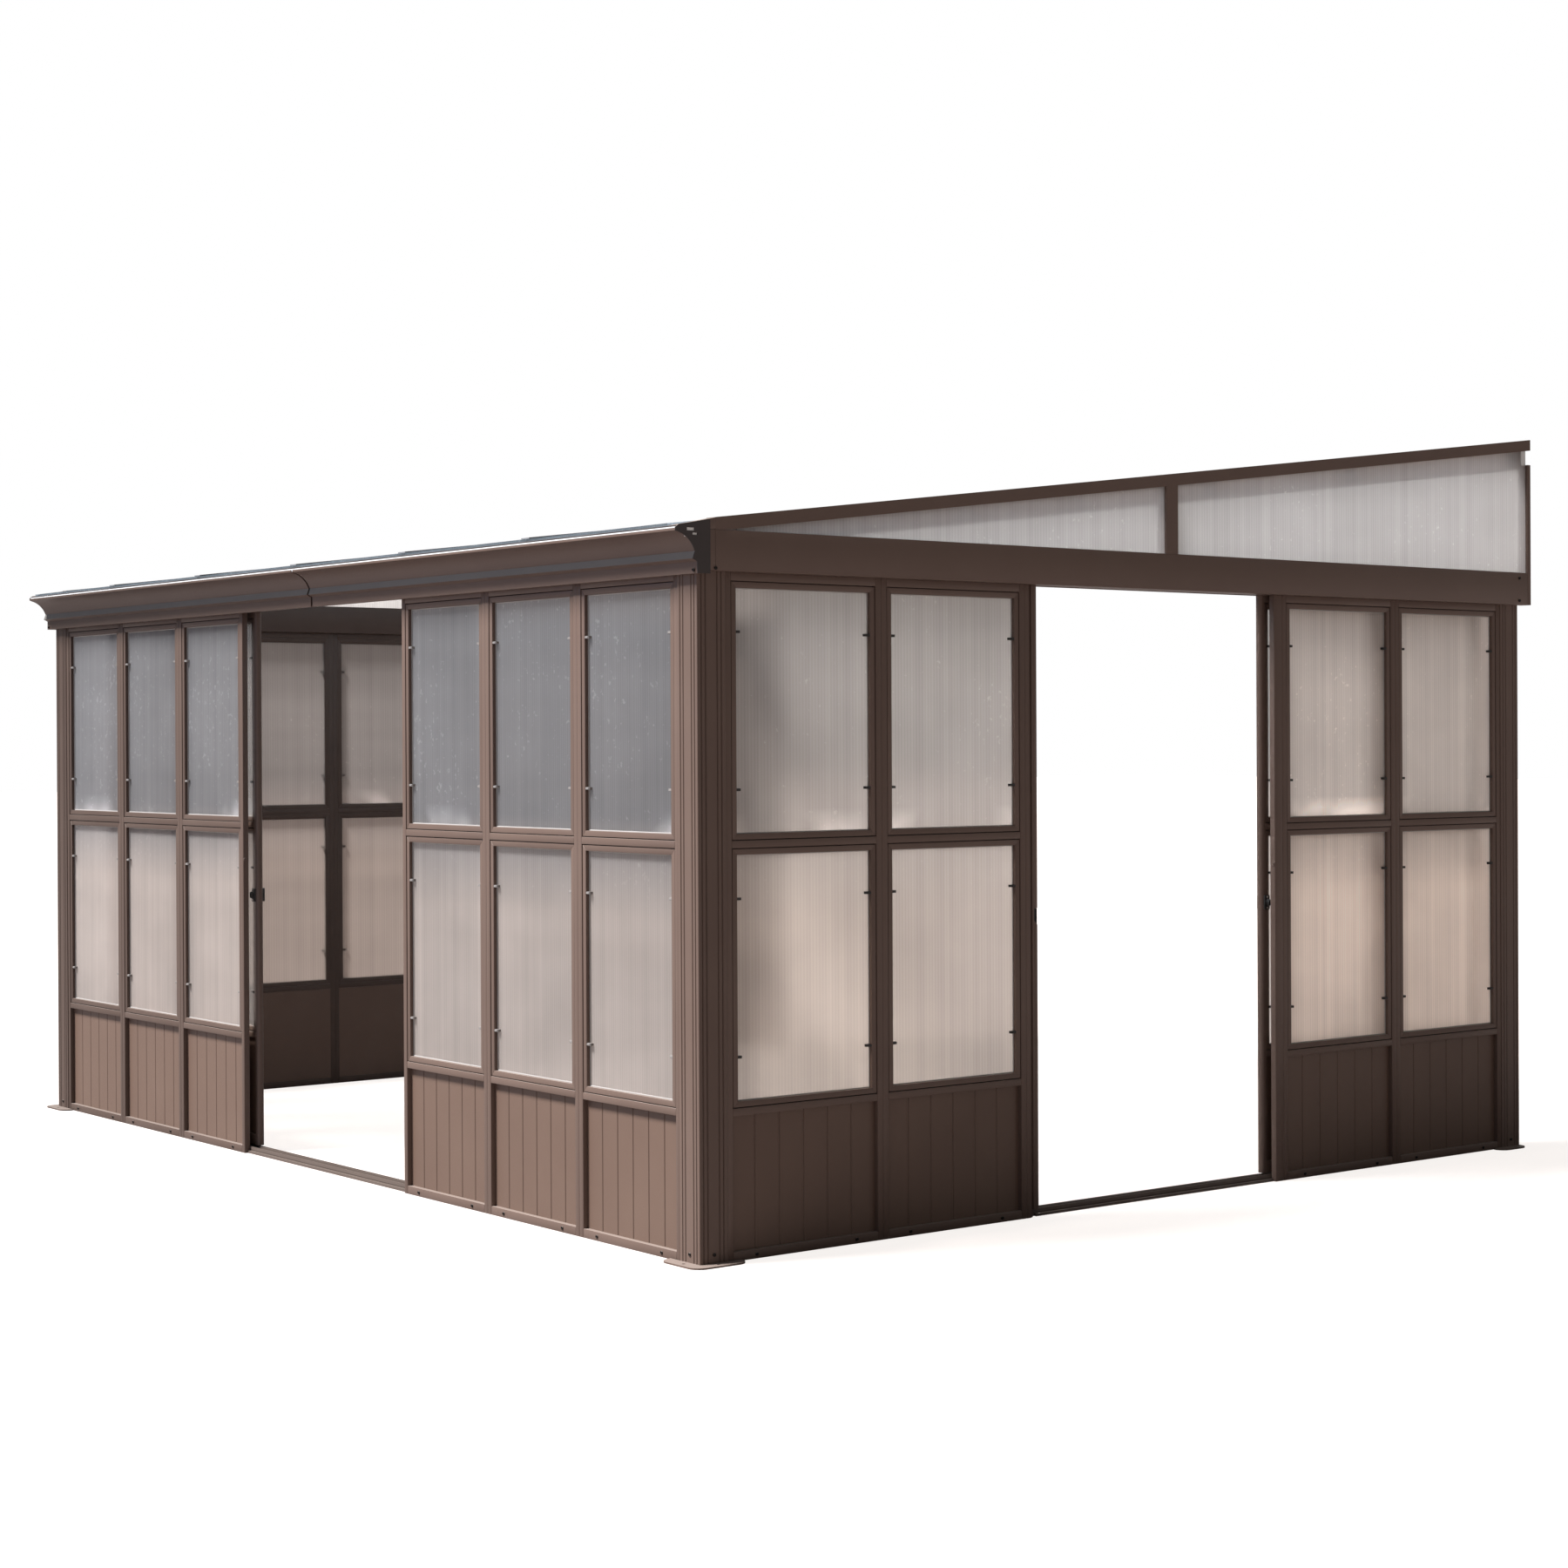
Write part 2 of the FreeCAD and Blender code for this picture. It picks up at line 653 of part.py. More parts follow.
for side, x in (("left", f"-{HEADER_FACE}"), ("right", RAIL_INNER)):
    rail = seated(f"gable_rail_{side}_body", "header_depth", HOUSE, 0, "rail_width")
    node(f"gable_rail_{side}", put(rail, x, FRONT, 0))

bay = f"(2 * {RAIL_INNER} / {ROOF_BAYS})"
rafter_master = seated("rafter_master", 0, LEDGER_RUN, SHEET_UNDER, "rafter_width")
rafter_places = [(f"{number} * {bay} - {RAIL_INNER} - rafter_width / 2", FRONT, 0, 0)
                 for number in range(1, ROOF_BAYS)]
node("rafters", placed("rafters", rafter_master, rafter_places))

sheet_master = sloped("sheet_master", ("-eave_reach", HOUSE), (SHEET_TOP, SHEET_UNDER), bay)
sheet_places = [(f"{number} * {bay} - {RAIL_INNER}", FRONT, 0, 0) for number in range(ROOF_BAYS)]
node("roof_sheets", placed("roof_sheets", sheet_master, sheet_places))

bar_master = sloped("cover_bar_master", ("-eave_reach", HOUSE), (0, SHEET_TOP), "bar_width")
bar_places = [(f"{number} * {bay} - {RAIL_INNER} - bar_width / 2", FRONT, 0, 0)
              for number in range(1, ROOF_BAYS)]
node("glazing_bars", placed("glazing_bars", bar_master, bar_places))

trim = sloped("eave_trim_body", ("-eave_reach - eave_trim", "-eave_reach"), ("(-eave_upstand)", SHEET_UNDER),
              f"2 * {RAIL_INNER}")
node("eave_trim", put(trim, f"-{RAIL_INNER}", FRONT, 0))

ledger_low = f"({under(LEDGER_RUN, SHEET_UNDER)} - ledger_height)"
ledger_corners = [(LEDGER_RUN, ledger_low), (HOUSE, ledger_low), (HOUSE, under(HOUSE, SHEET_UNDER)),
                  (LEDGER_RUN, under(LEDGER_RUN, SHEET_UNDER))]
ledger = prism("ledger_body", "YZ_Plane", ledger_corners, f"2 * {RAIL_INNER}")
node("wall_ledger", put(ledger, f"-{RAIL_INNER}", FRONT, 0))

# Gables: two panes over each side header with a mullion between, closed at the house by a flange
MULLION = f"((header_depth + {DEPTH} + header_tail) / 2)"
nose = f"({touch} + gable_nose / tan(roof_pitch * 1 deg))"
mullion_runs = (f"({MULLION} - gable_mullion / 2)", f"({MULLION} + gable_mullion / 2)")
gable_end = f"({DEPTH} + header_tail)"
pane_runs = {"front": (nose, mullion_runs[0]), "rear": (mullion_runs[1], gable_end)}


def on_header(name, runs, width):
    """A member that fills the gable between header and end rail."""
    start, end = runs
    corners = [(start, HEADER_TOP), (end, HEADER_TOP), (end, under(end, "rail_drop")),
               (start, under(start, "rail_drop"))]
    return prism(name, "YZ_Plane", corners, width)


gable_panes = []
mullions = []
flanges = []
flange_corners = [(0, 0), ("rail_width", 0), ("rail_width", "flange_height"), (0, "flange_height")]
for side, pane_x, rail_x in (("left", f"gable_inset - {HEADER_FACE}", f"-{HEADER_FACE}"),
                             ("right", f"{HEADER_FACE} - gable_inset - pane_thickness", RAIL_INNER)):
    for half, runs in pane_runs.items():
        light = on_header(f"gable_{side}_{half}_pane", runs, "pane_thickness")
        gable_panes.append(put(light, pane_x, FRONT, 0))
    mullions.append(put(on_header(f"gable_{side}_mullion", mullion_runs, "rail_width"), rail_x, FRONT, 0))
    flange = prism(f"flange_{side}_body", "XZ_Plane", flange_corners, "flange_thickness")
    doc.recompute()
    for number, level in enumerate(("wall_hole_low", "wall_hole_low + wall_hole_rise")):
        spot = ("rail_width / 2", level)
        drill(flange, circle(flange, f"flange_{side}_hole_{number}", "XZ_Plane", spot, "wall_hole"))
    flanges.append(put(flange, rail_x, f"{FRONT} + {gable_end}", "header_bottom"))
node("gable_panes", together("gable_panes", gable_panes))
node("gable_mullions", together("gable_mullions", mullions))
node("wall_flanges", together("wall_flanges", flanges))


# Sliding doors in their own frame: X along the door, Y into the room from the door's outer face
HALF_TURN = 180


def nosed_stile(name, start, leading_high):
    """A door stile whose leading edge is a half-round nose."""
    tall = f"({DOOR_TOP} - door_bottom)"
    nose_radius = "(door_depth / 2)"
    flat_start = start if leading_high else f"{start} + {nose_radius}"
    nose_centre = f"{start} + door_stile - {nose_radius}" if leading_high else f"{start} + {nose_radius}"
    flat = bar(f"{name}_flat", (flat_start, 0, "door_bottom"),
               (f"door_stile - {nose_radius}", "door_depth", tall))
    nose = doc.addObject("Part::Cylinder", f"{name}_nose")
    nose.Angle = HALF_TURN
    bind(nose, {"Radius": nose_radius, "Height": tall})
    facing = -HALF_TURN / 2 if leading_high else HALF_TURN / 2
    stile = doc.addObject("Part::Fuse", name)
    stile.Base = flat
    stile.Tool = put(nose, nose_centre, nose_radius, "door_bottom", facing)
    return stile


def door(name, width, leading_high):
    """Masters of a two-column door, locked on its leading stile."""
    mullion_face = "(2 * stile_face)"
    clear = f"(({width} - 2 * door_stile - {mullion_face}) / 2)"
    tall = f"({DOOR_TOP} - door_bottom)"
    rail_top = "(door_bottom + bottom_rail)"
    head = "(header_bottom - top_rail)"
    inner = f"({width} - 2 * door_stile)"
    columns = ("door_stile", f"(door_stile + {clear} + {mullion_face})")
    near_stile, far_stile = 0, f"{width} - door_stile"
    leading, trailing = (far_stile, near_stile) if leading_high else (near_stile, far_stile)
    frame = [
        nosed_stile(f"{name}_leading_stile", leading, leading_high),
        bar(f"{name}_trailing_stile", (trailing, 0, "door_bottom"), ("door_stile", "door_depth", tall)),
        bar(f"{name}_head", ("door_stile", 0, head), (inner, "door_depth", f"{DOOR_TOP} - {head}")),
        bar(f"{name}_mullion", (f"door_stile + {clear}", 0, rail_top),
            (mullion_face, "door_depth", f"{head} - {rail_top}")),
    ]
    wall = "channel_wall"
    channel = [(0, 0), (wall, 0), (wall, "bottom_rail - channel_wall"),
               ("door_depth - channel_wall", "bottom_rail - channel_wall"), ("door_depth - channel_wall", 0),
               ("door_depth", 0), ("door_depth", "bottom_rail"), (0, "bottom_rail")]
    frame.append(put(prism(f"{name}_channel", "YZ_Plane", channel, inner), "door_stile", 0, "door_bottom"))
    sashes = []
    panes = []
    kicks = []
    for number, x in enumerate(columns):
        for rail, level in (("lower", KICK_TOP), ("mid", MID_RAIL)):
            frame.append(bar(f"{name}_{rail}_rail_{number}", (x, 0, level),
                             (clear, "door_depth", "rail_face")))
        for light, (level, height) in LIGHTS.items():
            mark = f"{name}_{light}_{number}"
            sashes.append(sash(f"{mark}_sash", (x, level), (clear, height),
                               "door_sash_step", "door_sash_depth", "door_pane_recess - pane_thickness / 2"))
            panes.append(pane(f"{mark}_pane", (x, level), (clear, height),
                              "door_pane_recess - pane_thickness / 2"))
        kicks.append(boards(f"{name}_kick_{number}", (x, rail_top), clear, f"{KICK_TOP} - {rail_top}",
                            "door_pane_recess - board_thickness / 2"))
    guide_depth = "(header_depth + guide_play)"
    guide_reach = f"({LIP} - guide_play)"
    guides = [bar(f"{name}_guide_{number}", (x, f"{guide_depth} - {DOOR_PLANE}", DOOR_TOP),
                  ("guide_length", f"{guide_reach} - {guide_depth}", "guide_height"))
              for number, x in enumerate(("door_stile", f"{width} - door_stile - guide_length"))]
    spots = {"near": "wheel_inset", "far": f"{width} - wheel_inset"}
    half = "(door_depth / 2 - channel_wall)"
    side = "(wheel_width / 2 + shoulder_play)"
    axle_section = [(0, f"-{half}"), ("shoulder_radius", f"-{half}"), ("shoulder_radius", f"-{side}"),
                    ("axle_radius", f"-{side}"), ("axle_radius", side), ("shoulder_radius", side),
                    ("shoulder_radius", half), (0, half)]
    bore = "(axle_radius + bore_play)"
    rim = "(wheel_radius - wheel_chamfer)"
    wheel_section = [(bore, "-wheel_width / 2"), (rim, "-wheel_width / 2"),
                     ("wheel_radius", "wheel_chamfer - wheel_width / 2"),
                     ("wheel_radius", "wheel_width / 2 - wheel_chamfer"),
                     (rim, "wheel_width / 2"), (bore, "wheel_width / 2")]
    axles = []
    wheels = {}
    for end, x in spots.items():
        axles.append(put(turned(f"{name}_{end}_axle", axle_section), x, "door_depth / 2", AXLE_HEIGHT))
        wheels[end] = put(turned(f"{name}_{end}_wheel", wheel_section), x, "door_depth / 2", AXLE_HEIGHT)
    centre = f"({width} - lock_inset)" if leading_high else "lock_inset"
    low = "(lock_centre - lock_height / 2)"
    left = f"({centre} - lock_width / 2)"
    plate = bar(f"{name}_lock_plate", (left, "-lock_plate", low),
                ("lock_width", "lock_plate", "lock_height"))
    case = bar(f"{name}_lock_shell", (left, "door_depth", low),
               ("lock_width", "lock_case", "lock_height"))
    socket = doc.addObject("Part::Cylinder", f"{name}_spindle_socket")
    bind(socket, {"Radius": "spindle_radius + bore_play", "Height": "spindle_length + cutter_over"})
    socket.Placement = Placement(Vector(), Rotation(Vector(1, 0, 0), 90))
    bind(socket, {"Placement.Base.x": centre, "Placement.Base.y": "spindle_length - lock_plate",
                  "Placement.Base.z": "lock_centre"})
    drilled_plate = cut(f"{name}_drilled_plate", plate, socket)
    inner_end = "(spindle_length - shoulder_play)"
    hub_face = "(-shoulder_play - hub_depth)"
    turn_section = [(0, hub_face), ("hub_radius", hub_face), ("hub_radius", "-shoulder_play"),
                    ("spindle_radius", "-shoulder_play"), ("spindle_radius", inner_end), (0, inner_end)]
    hub = put(turned(f"{name}_thumb_hub", turn_section), centre, "-lock_plate", "lock_centre")
    lever = bar(f"{name}_thumb_lever", (f"{centre} - thumb_width / 2",
                                        f"{hub_face} - lock_plate - thumb_depth",
                                        "lock_centre - thumb_length / 2"),
                ("thumb_width", "thumb_depth", "thumb_length"))
    thumb = doc.addObject("Part::Fuse", f"{name}_thumb")
    thumb.Base = hub
    thumb.Tool = lever
    return {
        "frame": together(f"{name}_frame_group", frame),
        "sashes": together(f"{name}_sash_group", sashes),
        "panes": together(f"{name}_pane_group", panes),
        "kick_boards": together(f"{name}_kick_group", kicks),
        "top_guides": together(f"{name}_guide_group", guides),
        "axles": together(f"{name}_axle_group", axles),
        "near_wheel": wheels["near"],
        "far_wheel": wheels["far"],
        "lock_case": together(f"{name}_lock_group", [drilled_plate, case]),
        "thumb_turn": thumb,
    }


FRONT_DOOR = "(front_opening + 2 * door_overlap)"
SIDE_DOOR = "(side_opening + 2 * door_overlap)"
doors = {
    "front_door": (door("front_door_master", FRONT_DOOR, True),
                   (f"post_width + front_park - {RIGHT}", f"{FRONT} + {DOOR_PLANE}", 0, 0)),
    "side_door": (door("side_door_master", SIDE_DOOR, False),
                  (f"{RIGHT} - {DOOR_PLANE}", f"{REAR} - post_width - side_park - {SIDE_DOOR}", 0, 90)),
}
for name, (masters, place) in doors.items():
    for kind, master in masters.items():
        node(f"{name}_{kind}", placed(f"{name}_{kind}", master, [place]))

doc.recompute()
for thing in doc.Objects:
    if "Invalid" in thing.State or "Error" in thing.State:
        raise RuntimeError(f"{thing.Name} did not build: {thing.State}")
os.makedirs("parts", exist_ok=True)
for thing in nodes:
    if thing.Shape.isNull() or not thing.Shape.isValid():
        raise RuntimeError(f"{thing.Label} has no valid shape")
for thing in nodes:
    thing.Shape.exportStep(f"parts/{thing.Label}.step")
    print(thing.Label, len(thing.Shape.Solids), round(thing.Shape.Volume / 1000))
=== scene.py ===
import bmesh
import bpy
import contextlib
import math
from mathutils import Matrix, Vector


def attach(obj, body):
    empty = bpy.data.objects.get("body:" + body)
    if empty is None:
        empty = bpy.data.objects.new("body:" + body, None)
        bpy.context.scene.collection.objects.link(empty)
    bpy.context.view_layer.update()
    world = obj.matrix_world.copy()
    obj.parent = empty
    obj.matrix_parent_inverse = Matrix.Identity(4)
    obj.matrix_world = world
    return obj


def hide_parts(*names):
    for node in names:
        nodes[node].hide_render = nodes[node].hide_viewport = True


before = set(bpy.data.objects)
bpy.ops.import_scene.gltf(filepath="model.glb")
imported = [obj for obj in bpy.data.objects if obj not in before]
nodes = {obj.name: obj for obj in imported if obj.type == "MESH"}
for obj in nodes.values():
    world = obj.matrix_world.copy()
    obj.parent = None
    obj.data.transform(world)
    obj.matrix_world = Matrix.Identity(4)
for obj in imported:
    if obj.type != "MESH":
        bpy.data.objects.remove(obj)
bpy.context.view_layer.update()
bpy.ops.object.select_all(action="DESELECT")


# Corner posts: square extruded aluminium tubes with rounded arrises and a pair of drawn grooves by
# each edge of the two outer faces, powder-coated and screwed to the foot plates.
def linear(colour):
    """An sRGB hex colour as a linear RGBA value."""
    channels = [int(colour[place:place + 2], 16) / 255 for place in (1, 3, 5)]
    return [c / 12.92 if c <= 0.04045 else ((c + 0.055) / 1.055) ** 2.4 for c in channels] + [1]


def add_node(tree, kind, settings=None, links=None):
    """Adds a node: capitalised or numbered settings are its sockets, others its properties."""
    new = tree.nodes.new(kind)
    for key, value in (settings or {}).items():
        if isinstance(key, int) or key[0].isupper():
            new.inputs[key].default_value = value
        else:
            setattr(new, key, value)
    for key, source in (links or {}).items():
        tree.links.new(source, new.inputs[key])
    return new


def noise(tree, place, size, detail=2.0, dimensions="3D"):
    """Soft noise with patches of a size in metres, over a place or, in 1D, along a length."""
    settings = {"noise_dimensions": dimensions, "Scale": 1 / size, "Detail": detail}
    source = "W" if dimensions == "1D" else "Vector"
    return add_node(tree, "ShaderNodeTexNoise", settings, {source: place}).outputs["Fac"]


def rescale(tree, value, low=0.0, high=1.0, start=0.0, end=1.0):
    """Spreads a value from start to end over low to high."""
    settings = {"From Min": start, "From Max": end, "To Min": low, "To Max": high}
    return add_node(tree, "ShaderNodeMapRange", settings, {0: value}).outputs[0]


def material(name):
    """A material with only its output node."""
    made = bpy.data.materials.new(name)
    made.use_nodes = True
    made.node_tree.nodes.clear()
    output = add_node(made.node_tree, "ShaderNodeOutputMaterial")
    return made, made.node_tree, output


SHADED_END, SUNNY_END = -2.3, 0.9


def satin_coat(name, colour, faded, rough, left_shade=1.0, settled=0.4):
    """A satin skin such as baked powder coat: orange peel, faint blotches, settled dust and painted shade
    towards the left end.
    """
    made, tree, output = material(name)
    place = add_node(tree, "ShaderNodeTexCoord").outputs["Object"]
    # blotches about 250 mm across, and peel about 4 mm, drawn coarser than the real 1 mm to show
    blotch = noise(tree, place, 0.25, 4.0)
    peel = noise(tree, place, 0.004, 2.0)
    tone = add_node(tree, "ShaderNodeMix", {"data_type": "RGBA", 6: linear(colour), 7: linear(faded)},
                    {0: blotch})
    # painted shade: the colour darkens towards the left end, to the given share at x = -2.3 m, standing in
    # for less light there; from x = 0.9 m on it keeps its full colour
    across = add_node(tree, "ShaderNodeSeparateXYZ", None, {0: place}).outputs["X"]
    depth = rescale(tree, across, low=left_shade, start=SHADED_END, end=SUNNY_END)
    tone = add_node(tree, "ShaderNodeVectorMath", {"operation": "SCALE"},
                    {0: tone.outputs[2], "Scale": depth})
    # dust lies on what faces up
    normal = add_node(tree, "ShaderNodeNewGeometry").outputs["Normal"]
    upward = add_node(tree, "ShaderNodeSeparateXYZ", None, {0: normal}).outputs["Z"]
    dust = rescale(tree, upward, high=settled, start=0.3)
    dusty = add_node(tree, "ShaderNodeMix", {"data_type": "RGBA", 7: linear("#a39790")},
                     {0: dust, 6: tone.outputs[0]})
    shine = rescale(tree, peel, low=rough - 0.07, high=rough + 0.09)
    bumps = add_node(tree, "ShaderNodeBump", {"Strength": 0.06, "Distance": 0.001}, {"Height": peel})
    skin = add_node(tree, "ShaderNodeBsdfPrincipled", {"Specular IOR Level": 0.3},
                    {"Base Color": dusty.outputs[2], "Roughness": shine, "Normal": bumps.outputs[0]})
    tree.links.new(skin.outputs[0], output.inputs["Surface"])
    return made


def dress(finish, *names):
    """Gives CAD nodes a finish on all their material slots."""
    for name in names:
        mesh = nodes[name].data
        if not mesh.materials:
            mesh.materials.append(finish)
        for number in range(len(mesh.materials)):
            mesh.materials[number] = finish


bronze = satin_coat("bronze_powder_coated_aluminium", "#5f4e46", "#68574e", rough=0.42, left_shade=0.6)
POST = 0.102
ARRIS = 0.003
GROOVES = (0.015, 0.030, 0.072, 0.087)
GROOVE_HALF = 0.003
GROOVE_DEPTH = 0.004
FOOT = 0.005
HEAD = 2.030
OUTER_X = 2.350
OUTER_FRONT = -1.846
OUTER_REAR = 1.914


@contextlib.contextmanager
def editing():
    """The active object in edit mode."""
    bpy.ops.object.mode_set(mode="EDIT")
    yield
    bpy.ops.object.mode_set(mode="OBJECT")


def let_go():
    """In object mode, selects nothing."""
    bpy.ops.object.select_all(action="DESELECT")


def settle():
    """Puts the active object's place, turn and size into its mesh."""
    bpy.ops.object.transform_apply(location=True, rotation=True, scale=True)


def block(low, high):
    """A solid from its low to its high corner."""
    middle = [(a + b) / 2 for a, b in zip(low, high)]
    size = [b - a for a, b in zip(low, high)]
    bpy.ops.mesh.primitive_cube_add(size=1, location=middle, scale=size)
    settle()
    return bpy.context.object


def take_all():
    """In edit mode, selects everything."""
    bpy.ops.mesh.select_all(action="SELECT")


def pick(kind, test):
    """In edit mode, selects only what passes a test of its middle and its normal or direction."""
    bpy.ops.mesh.select_mode(type=kind)
    bpy.ops.mesh.select_all(action="DESELECT")
    mesh = bpy.context.edit_object.data
    shape = bmesh.from_edit_mesh(mesh)
    if kind == "VERT":
        found = [v for v in shape.verts if test(v.co, v.normal)]
    elif kind == "EDGE":
        found = [e for e in shape.edges
                 if test((e.verts[0].co + e.verts[1].co) / 2, (e.verts[1].co - e.verts[0].co).normalized())]
    else:
        found = [f for f in shape.faces if test(f.calc_center_median(), f.normal)]
    for part in found:
        part.select_set(True)
    bmesh.update_edit_mesh(mesh)


def near(a, b):
    """Whether two lengths agree to a tenth of a millimetre."""
    return abs(a - b) < 1e-4


def round_edges(offset, segments, kind, test):
    """In edit mode, rounds the edges that pass a test, or those of the faces that do."""
    pick(kind, test)
    bpy.ops.mesh.bevel(offset=offset, segments=segments, affect="EDGES")


def round_all(offset):
    """In edit mode, rounds every edge."""
    take_all()
    bpy.ops.mesh.bevel(offset=offset, segments=2, affect="EDGES")


def smooth(piece):
    """Rounded edges shade softly and flat faces stay flat."""
    let_go()
    piece.select_set(True)
    bpy.context.view_layer.objects.active = piece
    bpy.ops.object.shade_smooth_by_angle(angle=math.radians(40))


def finished(piece, finish):
    """Gives a piece its finish and its shading."""
    piece.data.materials.append(finish)
    smooth(piece)


def copies(name, master, places):
    """One piece made of copies of a master, each with its own mesh, at matrices."""
    let_go()
    for matrix in places:
        copy = master.copy()
        copy.data = master.data.copy()
        copy.data.transform(matrix)
        bpy.context.collection.objects.link(copy)
        copy.select_set(True)
        bpy.context.view_layer.objects.active = copy
    bpy.ops.object.join()
    piece = bpy.context.object
    piece.name = name
    return piece


def turned(x, y, z, degrees):
    """A place, with a turn about the vertical."""
    return Matrix.Translation((x, y, z)) @ Matrix.Rotation(math.radians(degrees), 4, "Z")


def fit(piece, body, slot, *stands_for):
    """Sends a finished piece to its body and hides the CAD nodes it stands for; the finish slot is not
    used.
    """
    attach(piece, body)
    if stands_for:
        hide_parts(*stands_for)


post = block((0, 0, FOOT), (POST, POST, HEAD))
with editing():
    round_edges(ARRIS, 3, "EDGE", lambda middle, way: abs(way.z) > 0.9)
    for groove in GROOVES:
        for cut in (groove - GROOVE_HALF, groove, groove + GROOVE_HALF):
            for normal in ((1, 0, 0), (0, 1, 0)):
                take_all()
                bpy.ops.mesh.bisect(plane_co=(cut, cut, 0), plane_no=normal)
        pick("VERT", lambda spot, normal: near(spot.x, groove) and near(spot.y, 0))
        bpy.ops.transform.translate(value=(0, GROOVE_DEPTH, 0))
        pick("VERT", lambda spot, normal: near(spot.y, groove) and near(spot.x, 0))
        bpy.ops.transform.translate(value=(GROOVE_DEPTH, 0, 0))
finished(post, bronze)
CORNERS = {"front_left": (-OUTER_X, OUTER_FRONT, 0), "front_right": (OUTER_X, OUTER_FRONT, 90),
           "rear_right": (OUTER_X, OUTER_REAR, 180), "rear_left": (-OUTER_X, OUTER_REAR, 270)}
for corner, (x, y, turn) in CORNERS.items():
    tube = copies(f"{corner}_post_tube", post, [turned(x, y, 0, turn)])
    fit(tube, "structure", "frame", f"corner_post_{corner}")
bpy.data.objects.remove(post)

# Foot plates: pressed steel plates under the posts with a drilled, round-cornered flange past each outer
# face, in the frame's paint and dusty on top; the rear ones have no flange towards the house.
FOOT_REACH = 0.045
FOOT_END = POST + 0.048
FOOT_ROUND = 0.040
ANCHOR_RADIUS = 0.0055


def cut_away(piece, cutter):
    """Takes one solid out of another."""
    bpy.context.view_layer.objects.active = piece
    cut = piece.modifiers.new("cut", "BOOLEAN")
    cut.operation = "DIFFERENCE"
    cut.object = cutter
    bpy.ops.object.modifier_apply(modifier="cut")
    bpy.data.objects.remove(cutter)


def joined(name, pieces):
    """Several objects as one piece."""
    let_go()
    for piece in pieces:
        piece.select_set(True)
    bpy.context.view_layer.objects.active = pieces[0]
    bpy.ops.object.join()
    pieces[0].name = name
    return pieces[0]


plates = []
for corner, (x, y, turn) in CORNERS.items():
    low_x = 0 if corner == "rear_left" else -FOOT_REACH
    low_y = 0 if corner == "rear_right" else -FOOT_REACH
    plate = block((low_x, low_y, 0), (FOOT_END, FOOT_END, FOOT))
    with editing():
        round_edges(FOOT_ROUND, 8, "EDGE",
                    lambda middle, way: abs(way.z) > 0.9 and min(middle.x, middle.y) < -FOOT)
    cut_away(plate, block((POST, 0, -FOOT), (2 * FOOT_END, 2 * FOOT_END, 2 * FOOT)))
    cut_away(plate, block((0, POST, -FOOT), (POST + FOOT, 2 * FOOT_END, 2 * FOOT)))
    for anchor_x, anchor_y in ((-FOOT_REACH / 2, POST / 2), (POST / 2, -FOOT_REACH / 2)):
        bpy.ops.mesh.primitive_cylinder_add(vertices=16, radius=ANCHOR_RADIUS, depth=6 * FOOT,
                                            location=(anchor_x, anchor_y, 0))
        settle()
        cut_away(plate, bpy.context.object)
    plate.data.transform(turned(x, y, 0, turn))
    plates.append(plate)
feet = joined("post_foot_plates", plates)
feet.data.materials.append(bronze)
fit(feet, "structure", "frame", "foot_plates")

# Wall module frames: mitre-free stiles and rails of square aluminium tube with softly rounded edges,
# one column wide, butted side by side so that a fine joint runs down each mullion.
STILE = 0.022
PANEL = 0.022
TUBE_ROUND = 0.0016
RAILS = ((0, 0.028), (0.428, 0.450), (1.217, 1.239), (2.005, HEAD))
LIGHTS = [(below[1], above[0]) for below, above in zip(RAILS[1:], RAILS[2:])]
FRONT_COLUMNS, SIDE_COLUMNS, LEFT_COLUMNS = 3, 2, 6
FRONT_MODULE = 0.548
SIDE_MODULE = 0.590
LEFT_MODULE = (OUTER_REAR - OUTER_FRONT - 2 * POST) / LEFT_COLUMNS
SETBACK = 0.003
PANEL_FRONT = OUTER_FRONT + SETBACK
PANEL_SIDE = OUTER_X - SETBACK


def bars(name, spans, round_off):
    """Straight tubes with rounded edges, joined as one piece."""
    let_go()
    made = [block(low, high) for low, high in spans]
    for tube in made:
        tube.select_set(True)
    bpy.ops.object.join()
    piece = bpy.context.object
    piece.name = name
    with editing():
        round_all(round_off)
    finished(piece, bronze)
    return piece


def module_frame(name, width):
    """The frame of one column: two stiles and the rails between them."""
    spans = [((0, 0, 0), (STILE, PANEL, HEAD)), ((width - STILE, 0, 0), (width, PANEL, HEAD))]
    for low, high in RAILS:
        spans.append(((STILE, 0, low), (width - STILE, PANEL, high)))
    return bars(name, spans, TUBE_ROUND)


front_places = {
    "front_left": [turned(-OUTER_X + POST + n * FRONT_MODULE, PANEL_FRONT, 0, 0)
                   for n in range(FRONT_COLUMNS)],
    "front_right": [turned(OUTER_X - POST - (n + 1) * FRONT_MODULE, PANEL_FRONT, 0, 0)
                    for n in range(FRONT_COLUMNS)],
}
right_places = {
    "right_front": [turned(PANEL_SIDE, OUTER_FRONT + POST + n * SIDE_MODULE, 0, 90)
                    for n in range(SIDE_COLUMNS)],
    "right_rear": [turned(PANEL_SIDE, OUTER_REAR - POST - (n + 1) * SIDE_MODULE, 0, 90)
                   for n in range(SIDE_COLUMNS)],
}
left_places = {"left": [turned(-PANEL_SIDE, OUTER_REAR - POST - n * LEFT_MODULE, 0, -90)
                        for n in range(LEFT_COLUMNS)]}
WALLS = {"front": (FRONT_MODULE, front_places), "right": (SIDE_MODULE, right_places),
         "left": (LEFT_MODULE, left_places)}
for wall, (width, groups) in WALLS.items():
    master = module_frame(f"{wall}_module", width)
    for group, places in groups.items():
        fit(copies(f"{group}_wall_frame", master, places), "structure", "frame", f"{group}_panel_frame")
    bpy.data.objects.remove(master)

